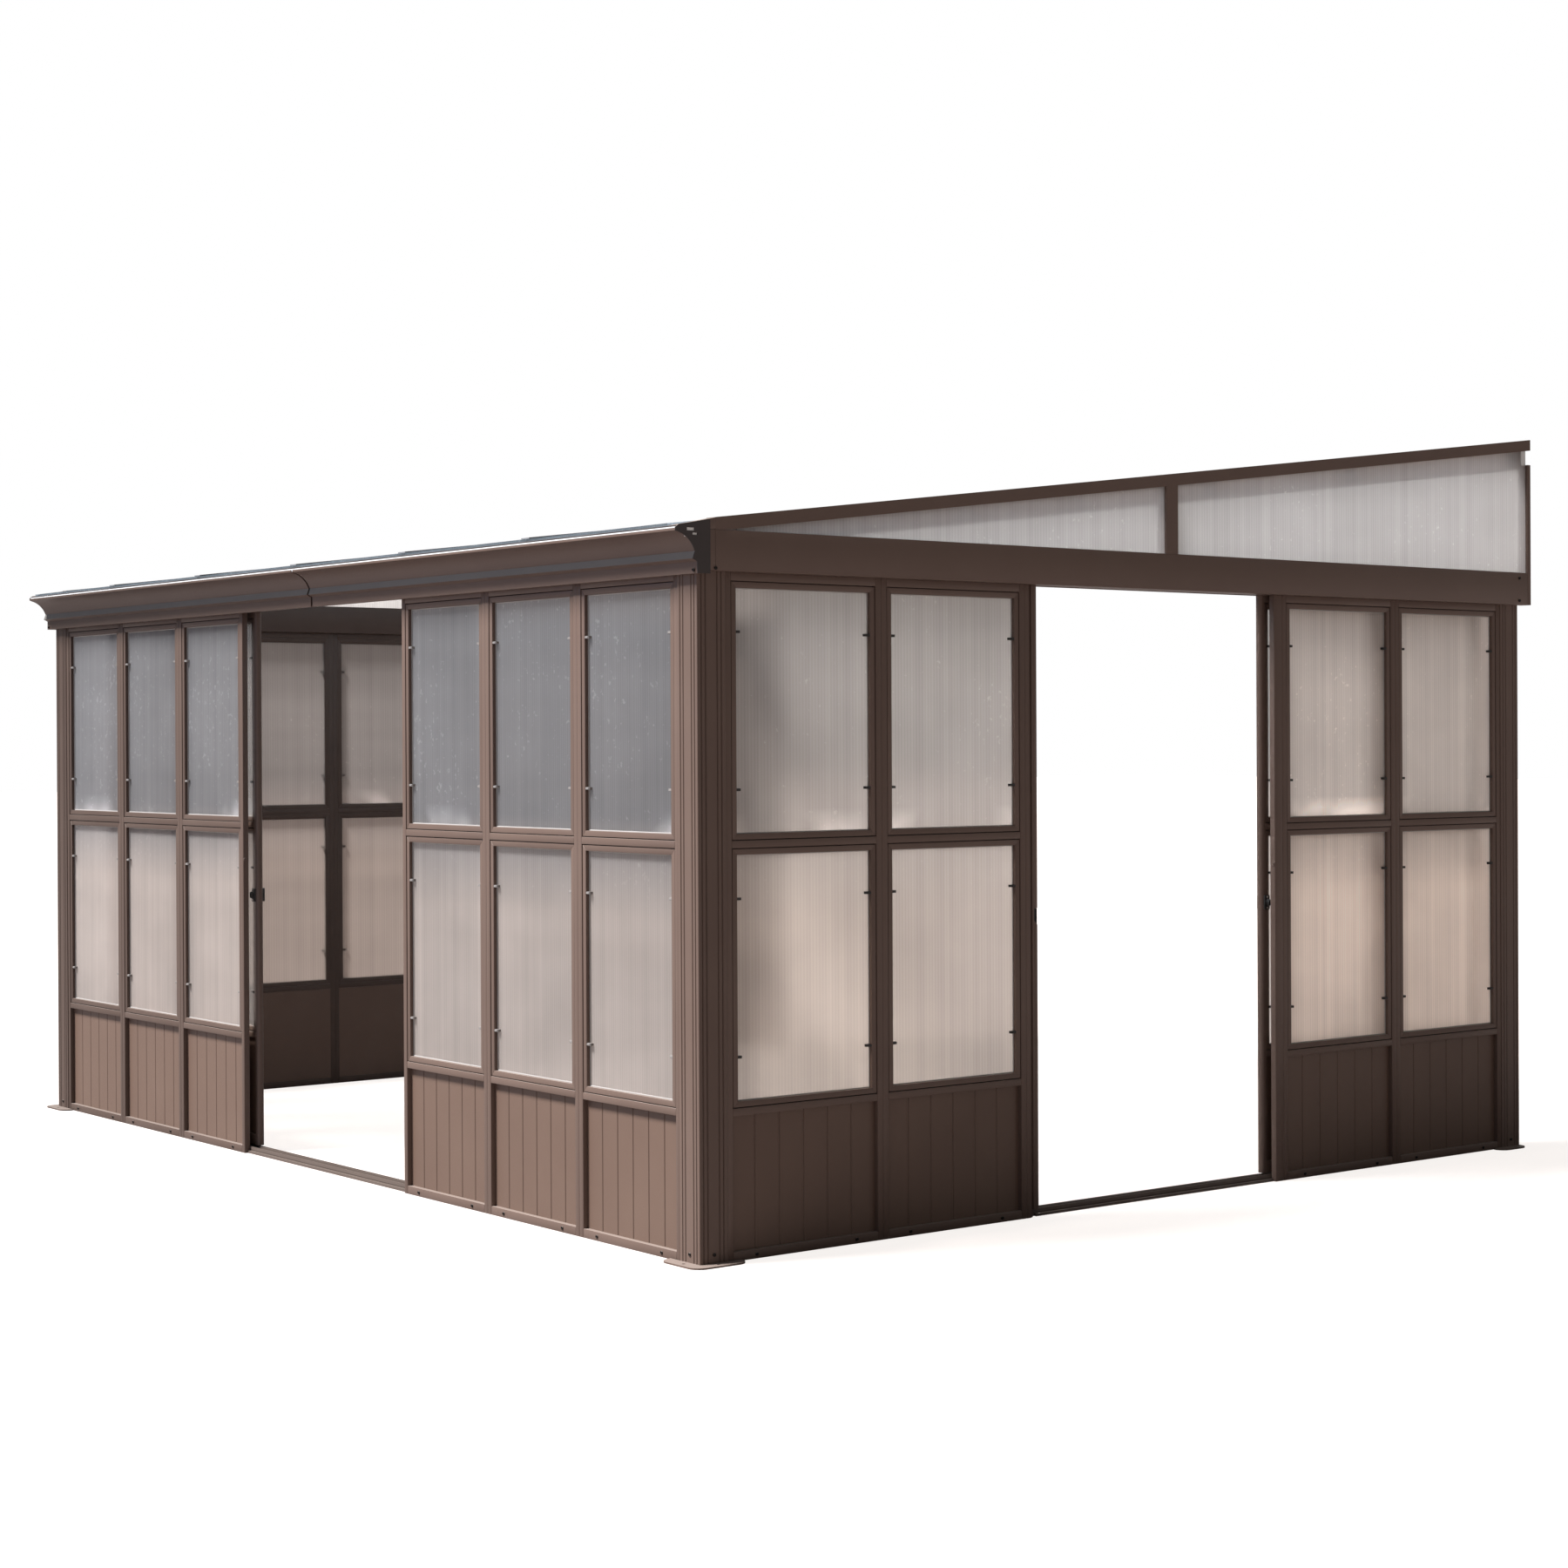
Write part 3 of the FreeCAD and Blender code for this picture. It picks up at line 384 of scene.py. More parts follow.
# Pane sashes: slim aluminium glazing bars cut at 45 degrees and pushed into the module frame round
# each pane, on a back flange, so that a fine dark joint shows round them and a mitre at each corner.
SASH = 0.020
SASH_FRONT = 0.002
SASH_JOINT = 0.0028
SASH_FLANGE = 0.007
SASH_ROUND = 0.0009


def mitred_ring(low, high, front, back, face):
    """Four bars round a light, cut at 45 degrees; low and high are its corners in X and Z."""
    let_go()
    middle = ((low[0] + high[0]) / 2, front, (low[1] + high[1]) / 2)
    bpy.ops.mesh.primitive_plane_add(size=1, location=middle, rotation=(math.radians(90), 0, 0))
    ring = bpy.context.object
    ring.scale = (high[0] - low[0], high[1] - low[1], 1)
    settle()
    with editing():
        take_all()
        bpy.ops.mesh.inset(thickness=face)
        bpy.ops.mesh.delete(type="ONLY_FACE")
        pick("EDGE", lambda middle, way: abs(way.x) > 0.5 and abs(way.z) > 0.5)
        bpy.ops.mesh.edge_split(type="EDGE")
        take_all()
        bpy.ops.mesh.extrude_region_move(TRANSFORM_OT_translate={"value": (0, back - front, 0)})
        take_all()
        bpy.ops.mesh.normals_make_consistent(inside=False)
        bpy.ops.mesh.bevel(offset=SASH_ROUND, segments=2, affect="EDGES")
    return ring


def sash_bars(name, lights, front, back):
    """The sash of each light: a visible bar and the flange behind it that bears on the frame."""
    rings = []
    middle = back - SASH_FLANGE
    for (x0, z0), (x1, z1) in lights:
        low = (x0 + SASH_JOINT, z0 + SASH_JOINT)
        high = (x1 - SASH_JOINT, z1 - SASH_JOINT)
        rings.append(mitred_ring(low, high, front, middle, SASH - SASH_JOINT))
        rings.append(mitred_ring((x0, z0), (x1, z1), middle, back, SASH))
    piece = joined(name, rings)
    finished(piece, bronze)
    return piece


def lights_of(columns):
    """Corners of the lights in columns, each given by its low and high side."""
    return [((low_x, low), (high_x, high)) for low_x, high_x in columns for low, high in LIGHTS]


def everywhere(groups):
    """The places of all the modules of a wall."""
    return [place for places in groups.values() for place in places]


rings = []
for wall, (width, groups) in WALLS.items():
    master = sash_bars(f"{wall}_sash", lights_of([(STILE, width - STILE)]), SASH_FRONT, PANEL)
    rings.append(copies(f"{wall}_sash_bars", master, everywhere(groups)))
    bpy.data.objects.remove(master)
fit(joined("wall_sash_bars", rings), "structure", "frame", "pane_sashes")


# Panes: clear twin-wall polycarbonate, extruded with upright webs that smear the view sideways and
# leave fine straight streaks; held at the edges in the sash grooves, and painted lighter and warmer low
# down as painted light.
WEB = 0.012
STREAK = 0.04
CLOUD = 0.4
BAND = 0.25
SPECK = 0.018
EVEN_SHARE, WEB_SHARE, STREAK_SHARE, CLOUD_SHARE = 0.695, 0.05, 0.25, 0.36
LOW_LIGHT_START, LOW_LIGHT_END = 1.0, 1.3
UPPER_ROW = 1.25
SMEAR_LOW, SMEAR_HIGH = 1.262, 1.33
CLEAN_MATT = 0.22


def reckon(tree, operation, *terms):
    """The outcome of an operation on terms, each a number or another node's output."""
    new = add_node(tree, "ShaderNodeMath", {"operation": operation})
    for place, term in enumerate(terms):
        if isinstance(term, bpy.types.NodeSocket):
            tree.links.new(term, new.inputs[place])
        else:
            new.inputs[place].default_value = term
    return new.outputs[0]


def twin_wall(name, milk, low_painted_light, haze, tint, blur, bands=0.0, sideways=1.0, dust=CLEAN_MATT,
              lamp_share="#d9d7d5", doubled=None, scuffed=(0.65, 0.26)):
    """Extruded twin-wall sheet: part milky, part clear, with fine upright webs."""
    made, tree, output = material(name)
    place = add_node(tree, "ShaderNodeTexCoord").outputs["Object"]
    axes = add_node(tree, "ShaderNodeSeparateXYZ", None, {0: place}).outputs
    along = reckon(tree, "MULTIPLY_ADD", axes["Y"], sideways, axes["X"])
    # webs stand 12 mm apart, drawn wider than the real 6 mm so that they show as fine lines
    wave = reckon(tree, "SINE", reckon(tree, "MULTIPLY", along, 2 * math.pi / WEB))
    # drawing streaks about 40 mm wide run straight up the sheet, with clouds 400 mm across, and bands of
    # 250 mm of painted light and shade that stand in for the blurred view of what stands behind the sheets
    thread = noise(tree, along, STREAK, 4.0, "1D")
    cloud = noise(tree, place, CLOUD, 3.0)
    painted_view_bands = noise(tree, axes["Z"], BAND, 2.0, "1D")
    tone = reckon(tree, "MULTIPLY_ADD", wave, WEB_SHARE, EVEN_SHARE - bands / 2)
    for pattern, share in ((thread, STREAK_SHARE), (cloud, CLOUD_SHARE), (painted_view_bands, bands)):
        tone = reckon(tree, "MULTIPLY_ADD", pattern, share, tone)
    # dried splashes and scuffs, specks under 18 mm across gathered in patches
    speck = noise(tree, place, SPECK, 3.0)
    patch = rescale(tree, cloud, low=0.05, high=-0.03, start=0.45, end=0.65)
    sparse = reckon(tree, "SUBTRACT", speck, patch)
    # painted light: the panes are lighter and warmer below 1.0 m, blending to their own colour by 1.3 m
    # above the ground
    height = rescale(tree, axes["Z"], start=LOW_LIGHT_START, end=LOW_LIGHT_END)
    least, strongest = scuffed
    splash = rescale(tree, sparse, high=strongest, start=least, end=least + 0.1)
    spotted = reckon(tree, "MULTIPLY_ADD", splash, height, tone)
    # washed-down dirt dries in pale smears along the foot of each upper pane
    foot = rescale(tree, axes["Z"], low=1.0, high=0.0, start=SMEAR_LOW, end=SMEAR_HIGH)
    upper = reckon(tree, "GREATER_THAN", axes["Z"], UPPER_ROW)
    smear = rescale(tree, cloud, high=0.8, start=0.48, end=0.6)
    run = reckon(tree, "MULTIPLY", foot, upper)
    spotted = reckon(tree, "MULTIPLY_ADD", run, smear, spotted)
    # painted light: where a parked door doubles the sheet, the colour is lifted so that the stretch looks
    # paler, and the haze share changes
    if doubled:
        axis, start, end, glow_lift, thick = doubled
        pale = rescale(tree, axes[axis], 1.0, glow_lift, start, end)
        spotted = reckon(tree, "MULTIPLY", spotted, pale)
        cloudy = rescale(tree, axes[axis], haze, thick, start, end)
    matt = rescale(tree, height, low=dust, high=CLEAN_MATT)
    colour = add_node(tree, "ShaderNodeMix", {"data_type": "RGBA", 6: linear(low_painted_light), 7: linear(milk)},
                      {0: height})
    lined = add_node(tree, "ShaderNodeVectorMath", {"operation": "SCALE"},
                     {0: colour.outputs[2], "Scale": spotted}).outputs[0]
    glow = add_node(tree, "ShaderNodeBsdfTranslucent", None, {"Color": lined})
    skin = add_node(tree, "ShaderNodeBsdfPrincipled", {"Roughness": 0.2}, {"Base Color": lined})
    hazy = add_node(tree, "ShaderNodeMixShader", None, {0: matt, 1: glow.outputs[0], 2: skin.outputs[0]})
    clear = add_node(tree, "ShaderNodeBsdfRefraction",
                     {"Color": linear(tint), "Roughness": blur, "IOR": 1.3})
    sheet = add_node(tree, "ShaderNodeMixShader", {0: haze}, {1: clear.outputs[0], 2: hazy.outputs[0]})
    if doubled:
        tree.links.new(cloudy, sheet.inputs[0])
    # lamps and bounced light pass on into the room
    path = add_node(tree, "ShaderNodeLightPath").outputs
    lamp = reckon(tree, "MULTIPLY_ADD", path["Is Diffuse Ray"], 0.5, path["Is Shadow Ray"])
    through = add_node(tree, "ShaderNodeBsdfTransparent", {"Color": linear(lamp_share)})
    shown = add_node(tree, "ShaderNodeMixShader", None,
                     {0: lamp, 1: sheet.outputs[0], 2: through.outputs[0]})
    tree.links.new(shown.outputs[0], output.inputs["Surface"])
    return made


# painted light and shade: the front, right and left sheets are one polycarbonate, each given its own
# colours and tint to suit how its wall is lit, the sunlit front greyer and darker, the shaded right paler
# a doubled stretch is given by its axis, start and end, by the lift of its painted light and by its haze
front_sheet = twin_wall("dusty_sun_toned_twin_wall_polycarbonate", milk="#a8a9ac", low_painted_light="#d6cec9", haze=0.7,
                        tint="#ece7e4", blur=0.14, bands=0.16, dust=0.24,
                        doubled=("X", -0.55, -0.65, 1.25, 0.7), scuffed=(0.615, 0.32))
dress(front_sheet, "front_panes")
side_sheet = twin_wall("clear_twin_wall_polycarbonate", milk="#d8d2cd", low_painted_light="#eadfd6", haze=0.5,
                       tint="#e6e2df", blur=0.14, bands=0.06, doubled=("Y", 0.5, 0.6, 1.55, 0.75))
dress(side_sheet, "right_panes")
shady_sheet = twin_wall("shade_toned_twin_wall_polycarbonate", milk="#b4afad", low_painted_light="#c6bab2", haze=0.36,
                        tint="#aea7a3", blur=0.10, bands=0.35)
dress(shady_sheet, "left_panes")

# Glazing beads: grey PVC strips pressed in along the sash in front of each pane, palest where the sun
# reaches the foot and the far edge of a light.
BEAD = 0.003
BEAD_DEPTH = 0.0025
PANE_FACE = 0.016
pvc = satin_coat("grey_pvc_bead", "#a6a3a0", "#b2afac", rough=0.35)


def glazing_beads(name, lights, face):
    """Beads round lights, in front of panes whose outer side is at a face."""
    frames = [mitred_ring((x0 + SASH, z0 + SASH), (x1 - SASH, z1 - SASH), face - BEAD_DEPTH, face, BEAD)
              for (x0, z0), (x1, z1) in lights]
    piece = joined(name, frames)
    finished(piece, pvc)
    return piece


for wall, (width, groups) in WALLS.items():
    master = glazing_beads(f"{wall}_bead", lights_of([(STILE, width - STILE)]), PANE_FACE)
    fit(copies(f"{wall}_glazing_beads", master, everywhere(groups)), "structure", "nylon")
    bpy.data.objects.remove(master)

# Pane clips: tabs pushed into the sash, four to a pane, that bear on the sheet's edge; black nylon, and
# along the front the same tabs in a light grey, as painted highlight where the sun catches them.
black, tree, output = material("black_moulded_nylon")
place = add_node(tree, "ShaderNodeTexCoord").outputs["Object"]
# a spark-eroded mould leaves a grain of about 1 mm, drawn at 2 mm
grain = noise(tree, place, 0.002, 2.0)
tone = add_node(tree, "ShaderNodeMix", {"data_type": "RGBA", 6: linear("#1a1918"), 7: linear("#262423")},
                {0: grain})
shine = rescale(tree, grain, low=0.35, high=0.6)
bumps = add_node(tree, "ShaderNodeBump", {"Strength": 0.15, "Distance": 0.001}, {"Height": grain})
skin = add_node(tree, "ShaderNodeBsdfPrincipled", None,
                {"Base Color": tone.outputs[2], "Roughness": shine, "Normal": bumps.outputs[0]})
tree.links.new(skin.outputs[0], output.inputs["Surface"])
sunlit_clip_grey = satin_coat("painted_highlight_clip_grey", "#7f7b78", "#8b8784", rough=0.3)


def step_face(rim, depth):
    """In edit mode, insets the outer face and pushes its middle in, or out with a depth below zero."""
    pick("FACE", lambda middle, normal: normal.y < -0.9)
    bpy.ops.mesh.inset(thickness=rim)
    bpy.ops.mesh.extrude_region_move(TRANSFORM_OT_translate={"value": (0, depth, 0)})


CLIP_REACH = 0.018
CLIP_HEIGHT = 0.012
CLIP_HALF = 0.004
CLIP_RIM = 0.0012
CLIP_FROM_END = 0.130
clip = block((-CLIP_HALF, -CLIP_HEIGHT, -CLIP_HALF), (CLIP_REACH, 0, CLIP_HALF))
with editing():
    round_edges(CLIP_HALF, 3, "EDGE",
                lambda middle, way: near(middle.x, CLIP_REACH) and near(middle.y, -CLIP_HEIGHT))
    step_face(CLIP_RIM, -CLIP_RIM)
finished(clip, black)


def clip_places(columns, face):
    """Places of clips: on both edges of each light of each column, near its ends."""
    spots = []
    other_way = Matrix.Rotation(math.pi, 4, "Y")
    for (low_x, low), (high_x, high) in lights_of(columns):
        for z in (low + SASH + CLIP_FROM_END, high - SASH - CLIP_FROM_END):
            spots.append(Matrix.Translation((low_x + SASH, face, z)))
            spots.append(Matrix.Translation((high_x - SASH, face, z)) @ other_way)
    return spots


for wall, (width, groups) in WALLS.items():
    spots = clip_places([(STILE, width - STILE)], PANE_FACE)
    clip_spots = [place @ spot for place in everywhere(groups) for spot in spots]
    clips = copies(f"{wall}_pane_clips", clip, clip_spots)
    # painted highlight: the front clips are given a light grey for the sun catching them
    if wall == "front":
        clips.data.materials[0] = sunlit_clip_grey
    fit(clips, "structure", "nylon")

# Screws: pan heads with a socket, blackened with the frame, two to a module in the base rail, one low
# on each outer post face, and at the ends of panels, gutter and headers.
SCREW_RADIUS = 0.0055
SCREW_DEPTH = 0.004
SCREW_MIDDLE = -0.0015
SCREW_ROUND = 0.0012
SOCKET_RIM = 0.0018
SOCKET_DEPTH = 0.0015
BASE_SCREW_HEIGHT = 0.014
BASE_SCREW_SHARES = (0.18, 0.82)
POST_SCREW_HEIGHT = 0.030
HEADER_SIDE = 2.383
HEADER_SCREWS = ((-1.802, 2.037), (1.884, 2.045), (1.884, 2.129))
FASCIA_SCREW = 2.369
FASCIA_REACH = 0.024
STOP_HEIGHT = 1.10
STOP_SCREWS = ((-0.604, -1.837, 90), (0.604, -1.837, -90), (2.341, 0.592, 0))
bpy.ops.mesh.primitive_cylinder_add(vertices=12, radius=SCREW_RADIUS, depth=SCREW_DEPTH,
                                    location=(0, SCREW_MIDDLE, 0), rotation=(math.radians(90), 0, 0))
screw = bpy.context.object
settle()
with editing():
    round_edges(SCREW_ROUND, 2, "EDGE", lambda middle, way: near(middle.y, SCREW_MIDDLE - SCREW_DEPTH / 2))
    step_face(SOCKET_RIM, SOCKET_DEPTH)
finished(screw, satin_coat("blackened_steel_screw", "#171311", "#201b19", rough=0.4))

spots = []
for width, groups in WALLS.values():
    for place in everywhere(groups):
        spots += [place @ Matrix.Translation((width * share, 0, BASE_SCREW_HEIGHT))
                  for share in BASE_SCREW_SHARES]
for x, y, turn in CORNERS.values():
    corner = turned(x, y, 0, turn)
    spots.append(corner @ Matrix.Translation((POST / 2, 0, POST_SCREW_HEIGHT)))
    spots.append(corner @ turned(0, POST / 2, POST_SCREW_HEIGHT, -90))
for side, turn in ((1, 90), (-1, -90)):
    spots += [turned(side * HEADER_SIDE, y, z, turn) for y, z in HEADER_SCREWS]
    spots.append(turned(side * FASCIA_SCREW, OUTER_FRONT - FASCIA_REACH, HEAD, 0))
fit(copies("frame_screws", screw, spots), "structure", "steel")
stops = [turned(x, y, STOP_HEIGHT, turn) for x, y, turn in STOP_SCREWS]
door_stops = copies("door_stop_screws", screw, stops)
door_stops.data.materials[0] = bronze
fit(door_stops, "structure", "steel")

# Kick boards: aluminium boards with V grooves pressed down them, set in the foot of each module behind
# its frame and painted with it, now faded a little warmer.
board_paint = satin_coat("faded_bronze_kick_board_paint", "#604d43", "#6a574c", rough=0.42)
dress(board_paint, "front_kick_boards", "right_kick_boards", "left_kick_boards")

# Side doorway jambs: a strike jamb of two strips with a deep joint between, the outer strip stopping
# above the sill and notched for the lock, and a plain guide jamb on the other side.
JAMB_ROUND = 0.001
JAMB_BACK = 0.006
JAMB_FOOT = 0.026
INNER_STRIP, INNER_STRIP_FACE = 0.030, 0.0195
OUTER_STRIP = 0.0285
STRIKE_EDGE = 0.050
NOTCH_SIDE = 0.036
NOTCH_LOW, NOTCH_HIGH = 0.938, 0.992
NOTCH_SLOPE, NOTCH_DROP = 0.014, 0.012
GUIDE = 0.040
strike_spans = [
    ((0, JAMB_BACK, 0), (INNER_STRIP, PANEL, HEAD)),
    ((0, 0, 0), (INNER_STRIP_FACE, JAMB_BACK, HEAD)),
    ((OUTER_STRIP, 0, JAMB_FOOT), (NOTCH_SIDE, PANEL, HEAD)),
    ((NOTCH_SIDE, 0, JAMB_FOOT), (STRIKE_EDGE, PANEL, NOTCH_LOW + NOTCH_SLOPE)),
    ((NOTCH_SIDE, 0, NOTCH_HIGH), (STRIKE_EDGE, PANEL, HEAD)),
]
strike = bars("strike_jamb_strips", strike_spans, JAMB_ROUND)
with editing():
    pick("VERT", lambda spot, normal: (spot.x > STRIKE_EDGE - 1.5 * JAMB_ROUND
                                       and abs(spot.z - NOTCH_LOW - NOTCH_SLOPE) < 2 * JAMB_ROUND))
    bpy.ops.transform.translate(value=(0, 0, -NOTCH_DROP))
guide = bars("guide_jamb_tube", [((0, 0, 0), (GUIDE, PANEL, HEAD))], TUBE_ROUND)
strike_place = turned(PANEL_SIDE, OUTER_FRONT + POST + SIDE_COLUMNS * SIDE_MODULE, 0, 90)
guide_place = turned(PANEL_SIDE, OUTER_REAR - POST - SIDE_COLUMNS * SIDE_MODULE - GUIDE, 0, 90)
strike.data.transform(strike_place)
guide.data.transform(guide_place)
fit(joined("side_doorway_jambs", [strike, guide]), "structure", "frame", "side_door_jambs")
# the lock's keeper fills the notch, with play all round and a recess for the bolt
PLAY = 0.0005
KEEPER_RIM = 0.003
KEEPER_DEPTH = 0.004
KEEPER_ROUND = 0.0006
keeper = block((NOTCH_SIDE + PLAY, 3 * PLAY, NOTCH_LOW + 2 * PLAY),
               (STRIKE_EDGE - PLAY, PANEL - 2 * PLAY, NOTCH_HIGH - PLAY))
with editing():
    step_face(KEEPER_RIM, KEEPER_DEPTH)
    round_all(KEEPER_ROUND)
keeper.name = "side_door_lock_keeper"
finished(keeper, black)
keeper.data.transform(strike_place)
fit(keeper, "structure", "nylon")

# Headers: deep aluminium box beams on the posts, the side ones butting the front one and standing
# proud of the walls below.
HEAD_TOP = 2.150
HEADER_DEPTH = 0.044
HEADER_START = OUTER_FRONT + HEADER_DEPTH
HEADER_END = OUTER_REAR + 0.020
HEADER_ROUND = 0.002
beams = {
    "front": ((-HEADER_SIDE, OUTER_FRONT, HEAD), (HEADER_SIDE, HEADER_START, HEAD_TOP)),
    "right": ((OUTER_X - HEADER_DEPTH, HEADER_START, HEAD), (HEADER_SIDE, HEADER_END, HEAD_TOP)),
    "left": ((-HEADER_SIDE, HEADER_START, HEAD), (HEADER_DEPTH - OUTER_X, HEADER_END, HEAD_TOP)),
}
for side, span in beams.items():
    fit(bars(f"{side}_box_beam", [span], HEADER_ROUND), "structure", "frame", f"{side}_header")

# Tracks and sills: extruded aluminium sills, ribbed for the doors' wheels, in a darker bronze that is
# darker still on the flats between the ribs, and the channels that hang behind the headers to guide the
# doors.
SILL_TOP = 0.012
sill_metal = satin_coat("dark_bronze_sill_paint", "#5a4f49", "#645851", rough=0.36, settled=0.08)
tree = sill_metal.node_tree
skin = tree.nodes["Principled BSDF"]
paint = skin.inputs["Base Color"].links[0].from_socket
where = add_node(tree, "ShaderNodeTexCoord").outputs["Object"]
height = add_node(tree, "ShaderNodeSeparateXYZ", None, {0: where}).outputs["Z"]
# the flats between the ribs, 12 mm above the ground, are painted 60% darker
flat = reckon(tree, "COMPARE", height, SILL_TOP, 0.001)
flat_darkening = reckon(tree, "MULTIPLY_ADD", flat, -0.6, 1.0)
darkened_paint = add_node(tree, "ShaderNodeVectorMath", {"operation": "SCALE"}, {0: paint, "Scale": flat_darkening})
tree.links.new(darkened_paint.outputs[0], skin.inputs["Base Color"])
dress(sill_metal, "front_sill_track", "right_sill_track")
dress(bronze, "front_door_track", "right_door_track")

# Crown gutter: roll-formed aluminium in two lengths with a fascia, a flat band, a cove and a lip; the
# lengths stop short of each other over a dark joint sleeve, and cast end caps close the trough.
GUTTER_BASE = 2.020
GUTTER_WALL = 0.003
COVE_STEPS = 10


def cove(start, end, centre):
    """Points of a round cove between two corners of a section."""
    first = math.atan2(start[1] - centre[1], start[0] - centre[0])
    last = math.atan2(end[1] - centre[1], end[0] - centre[0])
    reach = math.dist(start, centre)
    turn = (last - first) / COVE_STEPS
    angles = [first + turn * step for step in range(1, COVE_STEPS)]
    return [(centre[0] + reach * math.cos(angle), centre[1] + reach * math.sin(angle)) for angle in angles]


def drawn(name, start, end, section, finish):
    """A closed section drawn point by point in Y and Z, pulled from start to end along X."""
    let_go()
    bpy.ops.mesh.primitive_plane_add(size=0.001, location=(start, 0, 0))
    piece = bpy.context.object
    piece.name = name
    settle()
    with editing():
        bpy.ops.mesh.select_mode(type="VERT")
        take_all()
        bpy.ops.mesh.merge(type="CENTER")
        take_all()
        bpy.ops.transform.translate(value=(0, section[0][0], section[0][1]))
        here = section[0]
        for point in section[1:]:
            bpy.ops.mesh.extrude_region_move(
                TRANSFORM_OT_translate={"value": (0, point[0] - here[0], point[1] - here[1])})
            here = point
        take_all()
        bpy.ops.mesh.edge_face_add()
        bpy.ops.mesh.extrude_region_move(TRANSFORM_OT_translate={"value": (end - start, 0, 0)})
        take_all()
        bpy.ops.mesh.normals_make_consistent(inside=False)
    finished(piece, finish)
    return piece


COVE_START, COVE_END, COVE_CENTRE = (-0.032, 0.066), (-0.092, 0.118), (-0.1112, 0.0352)
LIP_REACH = 0.100
LIP_TOP = 0.128
GUTTER_BACK = 0.118
JOINT = 0.006
BAND_LOW, BAND_HIGH = GUTTER_BASE + 0.043, GUTTER_BASE + 0.063
SLEEVE_HALF = 0.030
SLEEVE_GAP = 0.003
SLEEVE_WALL = 0.0015


def at_front(section):
    """A section moved to the front posts' outer face and the gutter's base."""
    return [(OUTER_FRONT + y, GUTTER_BASE + z) for y, z in section]


face = [(0, 0), (-0.022, 0), (-0.022, 0.034), (-0.038, 0.042), (-0.030, 0.064), COVE_START]
face += cove(COVE_START, COVE_END, COVE_CENTRE) + [COVE_END, (-LIP_REACH, 0.121), (-LIP_REACH, LIP_TOP)]
lining = [(y + GUTTER_WALL, z + GUTTER_WALL) for y, z in face[1:-1]]
trough = face + [(GUTTER_WALL - LIP_REACH, LIP_TOP)] + lining[::-1]
trough += [(-GUTTER_WALL, GUTTER_WALL), (-GUTTER_WALL, GUTTER_BACK), (0, GUTTER_BACK)]
# painted reflection: the flat band that leans outwards is painted a light grey, standing in for the sky it
# reflects
sky_grey_band_paint = satin_coat("painted_sky_reflection_band_grey", "#7b7873", "#85827d", rough=0.4, left_shade=0.65)
for side, start, end in (("left", -HEADER_SIDE, -JOINT), ("right", JOINT, HEADER_SIDE)):
    length = drawn(f"{side}_gutter_length", start, end, at_front(trough), bronze)
    length.data.materials.append(sky_grey_band_paint)
    with editing():
        pick("FACE", lambda middle, normal: (BAND_LOW < middle.z < BAND_HIGH and normal.y < -0.8
                                             and abs(normal.x) < 0.1))
        length.active_material_index = 1
        bpy.ops.object.material_slot_assign()
    fit(length, "structure", "frame", f"gutter_{side}")
sleeve = [(y + SLEEVE_GAP, z + SLEEVE_GAP) for y, z in lining]
sleeve += [(y + SLEEVE_WALL, z + SLEEVE_WALL) for y, z in sleeve[::-1]]
backing = drawn("gutter_joint_sleeve", -SLEEVE_HALF, SLEEVE_HALF, at_front(sleeve), black)
fit(backing, "structure", "end_cap")

# Gutter end caps: cast plates that follow the moulding, run back over the header's end and rise to the
# roof line, with two slots for the overflow; a darker, matter coat than the frame.
cap_metal = satin_coat("dark_cast_end_cap", "#3a3534", "#433d3c", rough=0.5)
painted_slot_light = satin_coat("white_painted_slot_light", "#e8e6e2", "#f4f3f0", rough=0.55)
CAP_PLATE = 0.003
CAP_BACK = 0.024
SLOT_LIGHT = 0.0012
SLOT_LIGHT_ROUND = 0.0004
SLOT_LIGHT_LOW = (OUTER_FRONT - 0.066, GUTTER_BASE + 0.104)
SLOT_LIGHT_HIGH = (OUTER_FRONT - 0.016, GUTTER_BASE + 0.134)
OVERFLOWS = ((-0.059, -0.0325, 0.122, 0.131), (-0.039, -0.022, 0.110, 0.1165))
plate = [(CAP_BACK, 0)] + face[1:-1] + [(-LIP_REACH, 0.130), (-0.088, 0.1395), (CAP_BACK, 0.159)]
for side, start in (("right", HEADER_SIDE), ("left", -HEADER_SIDE - CAP_PLATE)):
    cap = drawn(f"{side}_gutter_cap", start, start + CAP_PLATE, at_front(plate), cap_metal)
    for low_y, high_y, low_z, high_z in OVERFLOWS:
        cutter = block((start - CAP_PLATE, OUTER_FRONT + low_y, GUTTER_BASE + low_z),
                       (start + 2 * CAP_PLATE, OUTER_FRONT + high_y, GUTTER_BASE + high_z))
        cut_away(cap, cutter)
    smooth(cap)
    fit(cap, "structure", "end_cap", f"gutter_end_cap_{side}")
    # painted light: a white strip behind the slots stands in for the light seen through them
    inner = start - SLOT_LIGHT if start > 0 else start + CAP_PLATE
    slot_light_strip = bars(f"{side}_cap_slot_light", [((inner, *SLOT_LIGHT_LOW), (inner + SLOT_LIGHT, *SLOT_LIGHT_HIGH))], SLOT_LIGHT_ROUND)
    slot_light_strip.data.materials[0] = painted_slot_light
    fit(slot_light_strip, "structure", "mill_track")

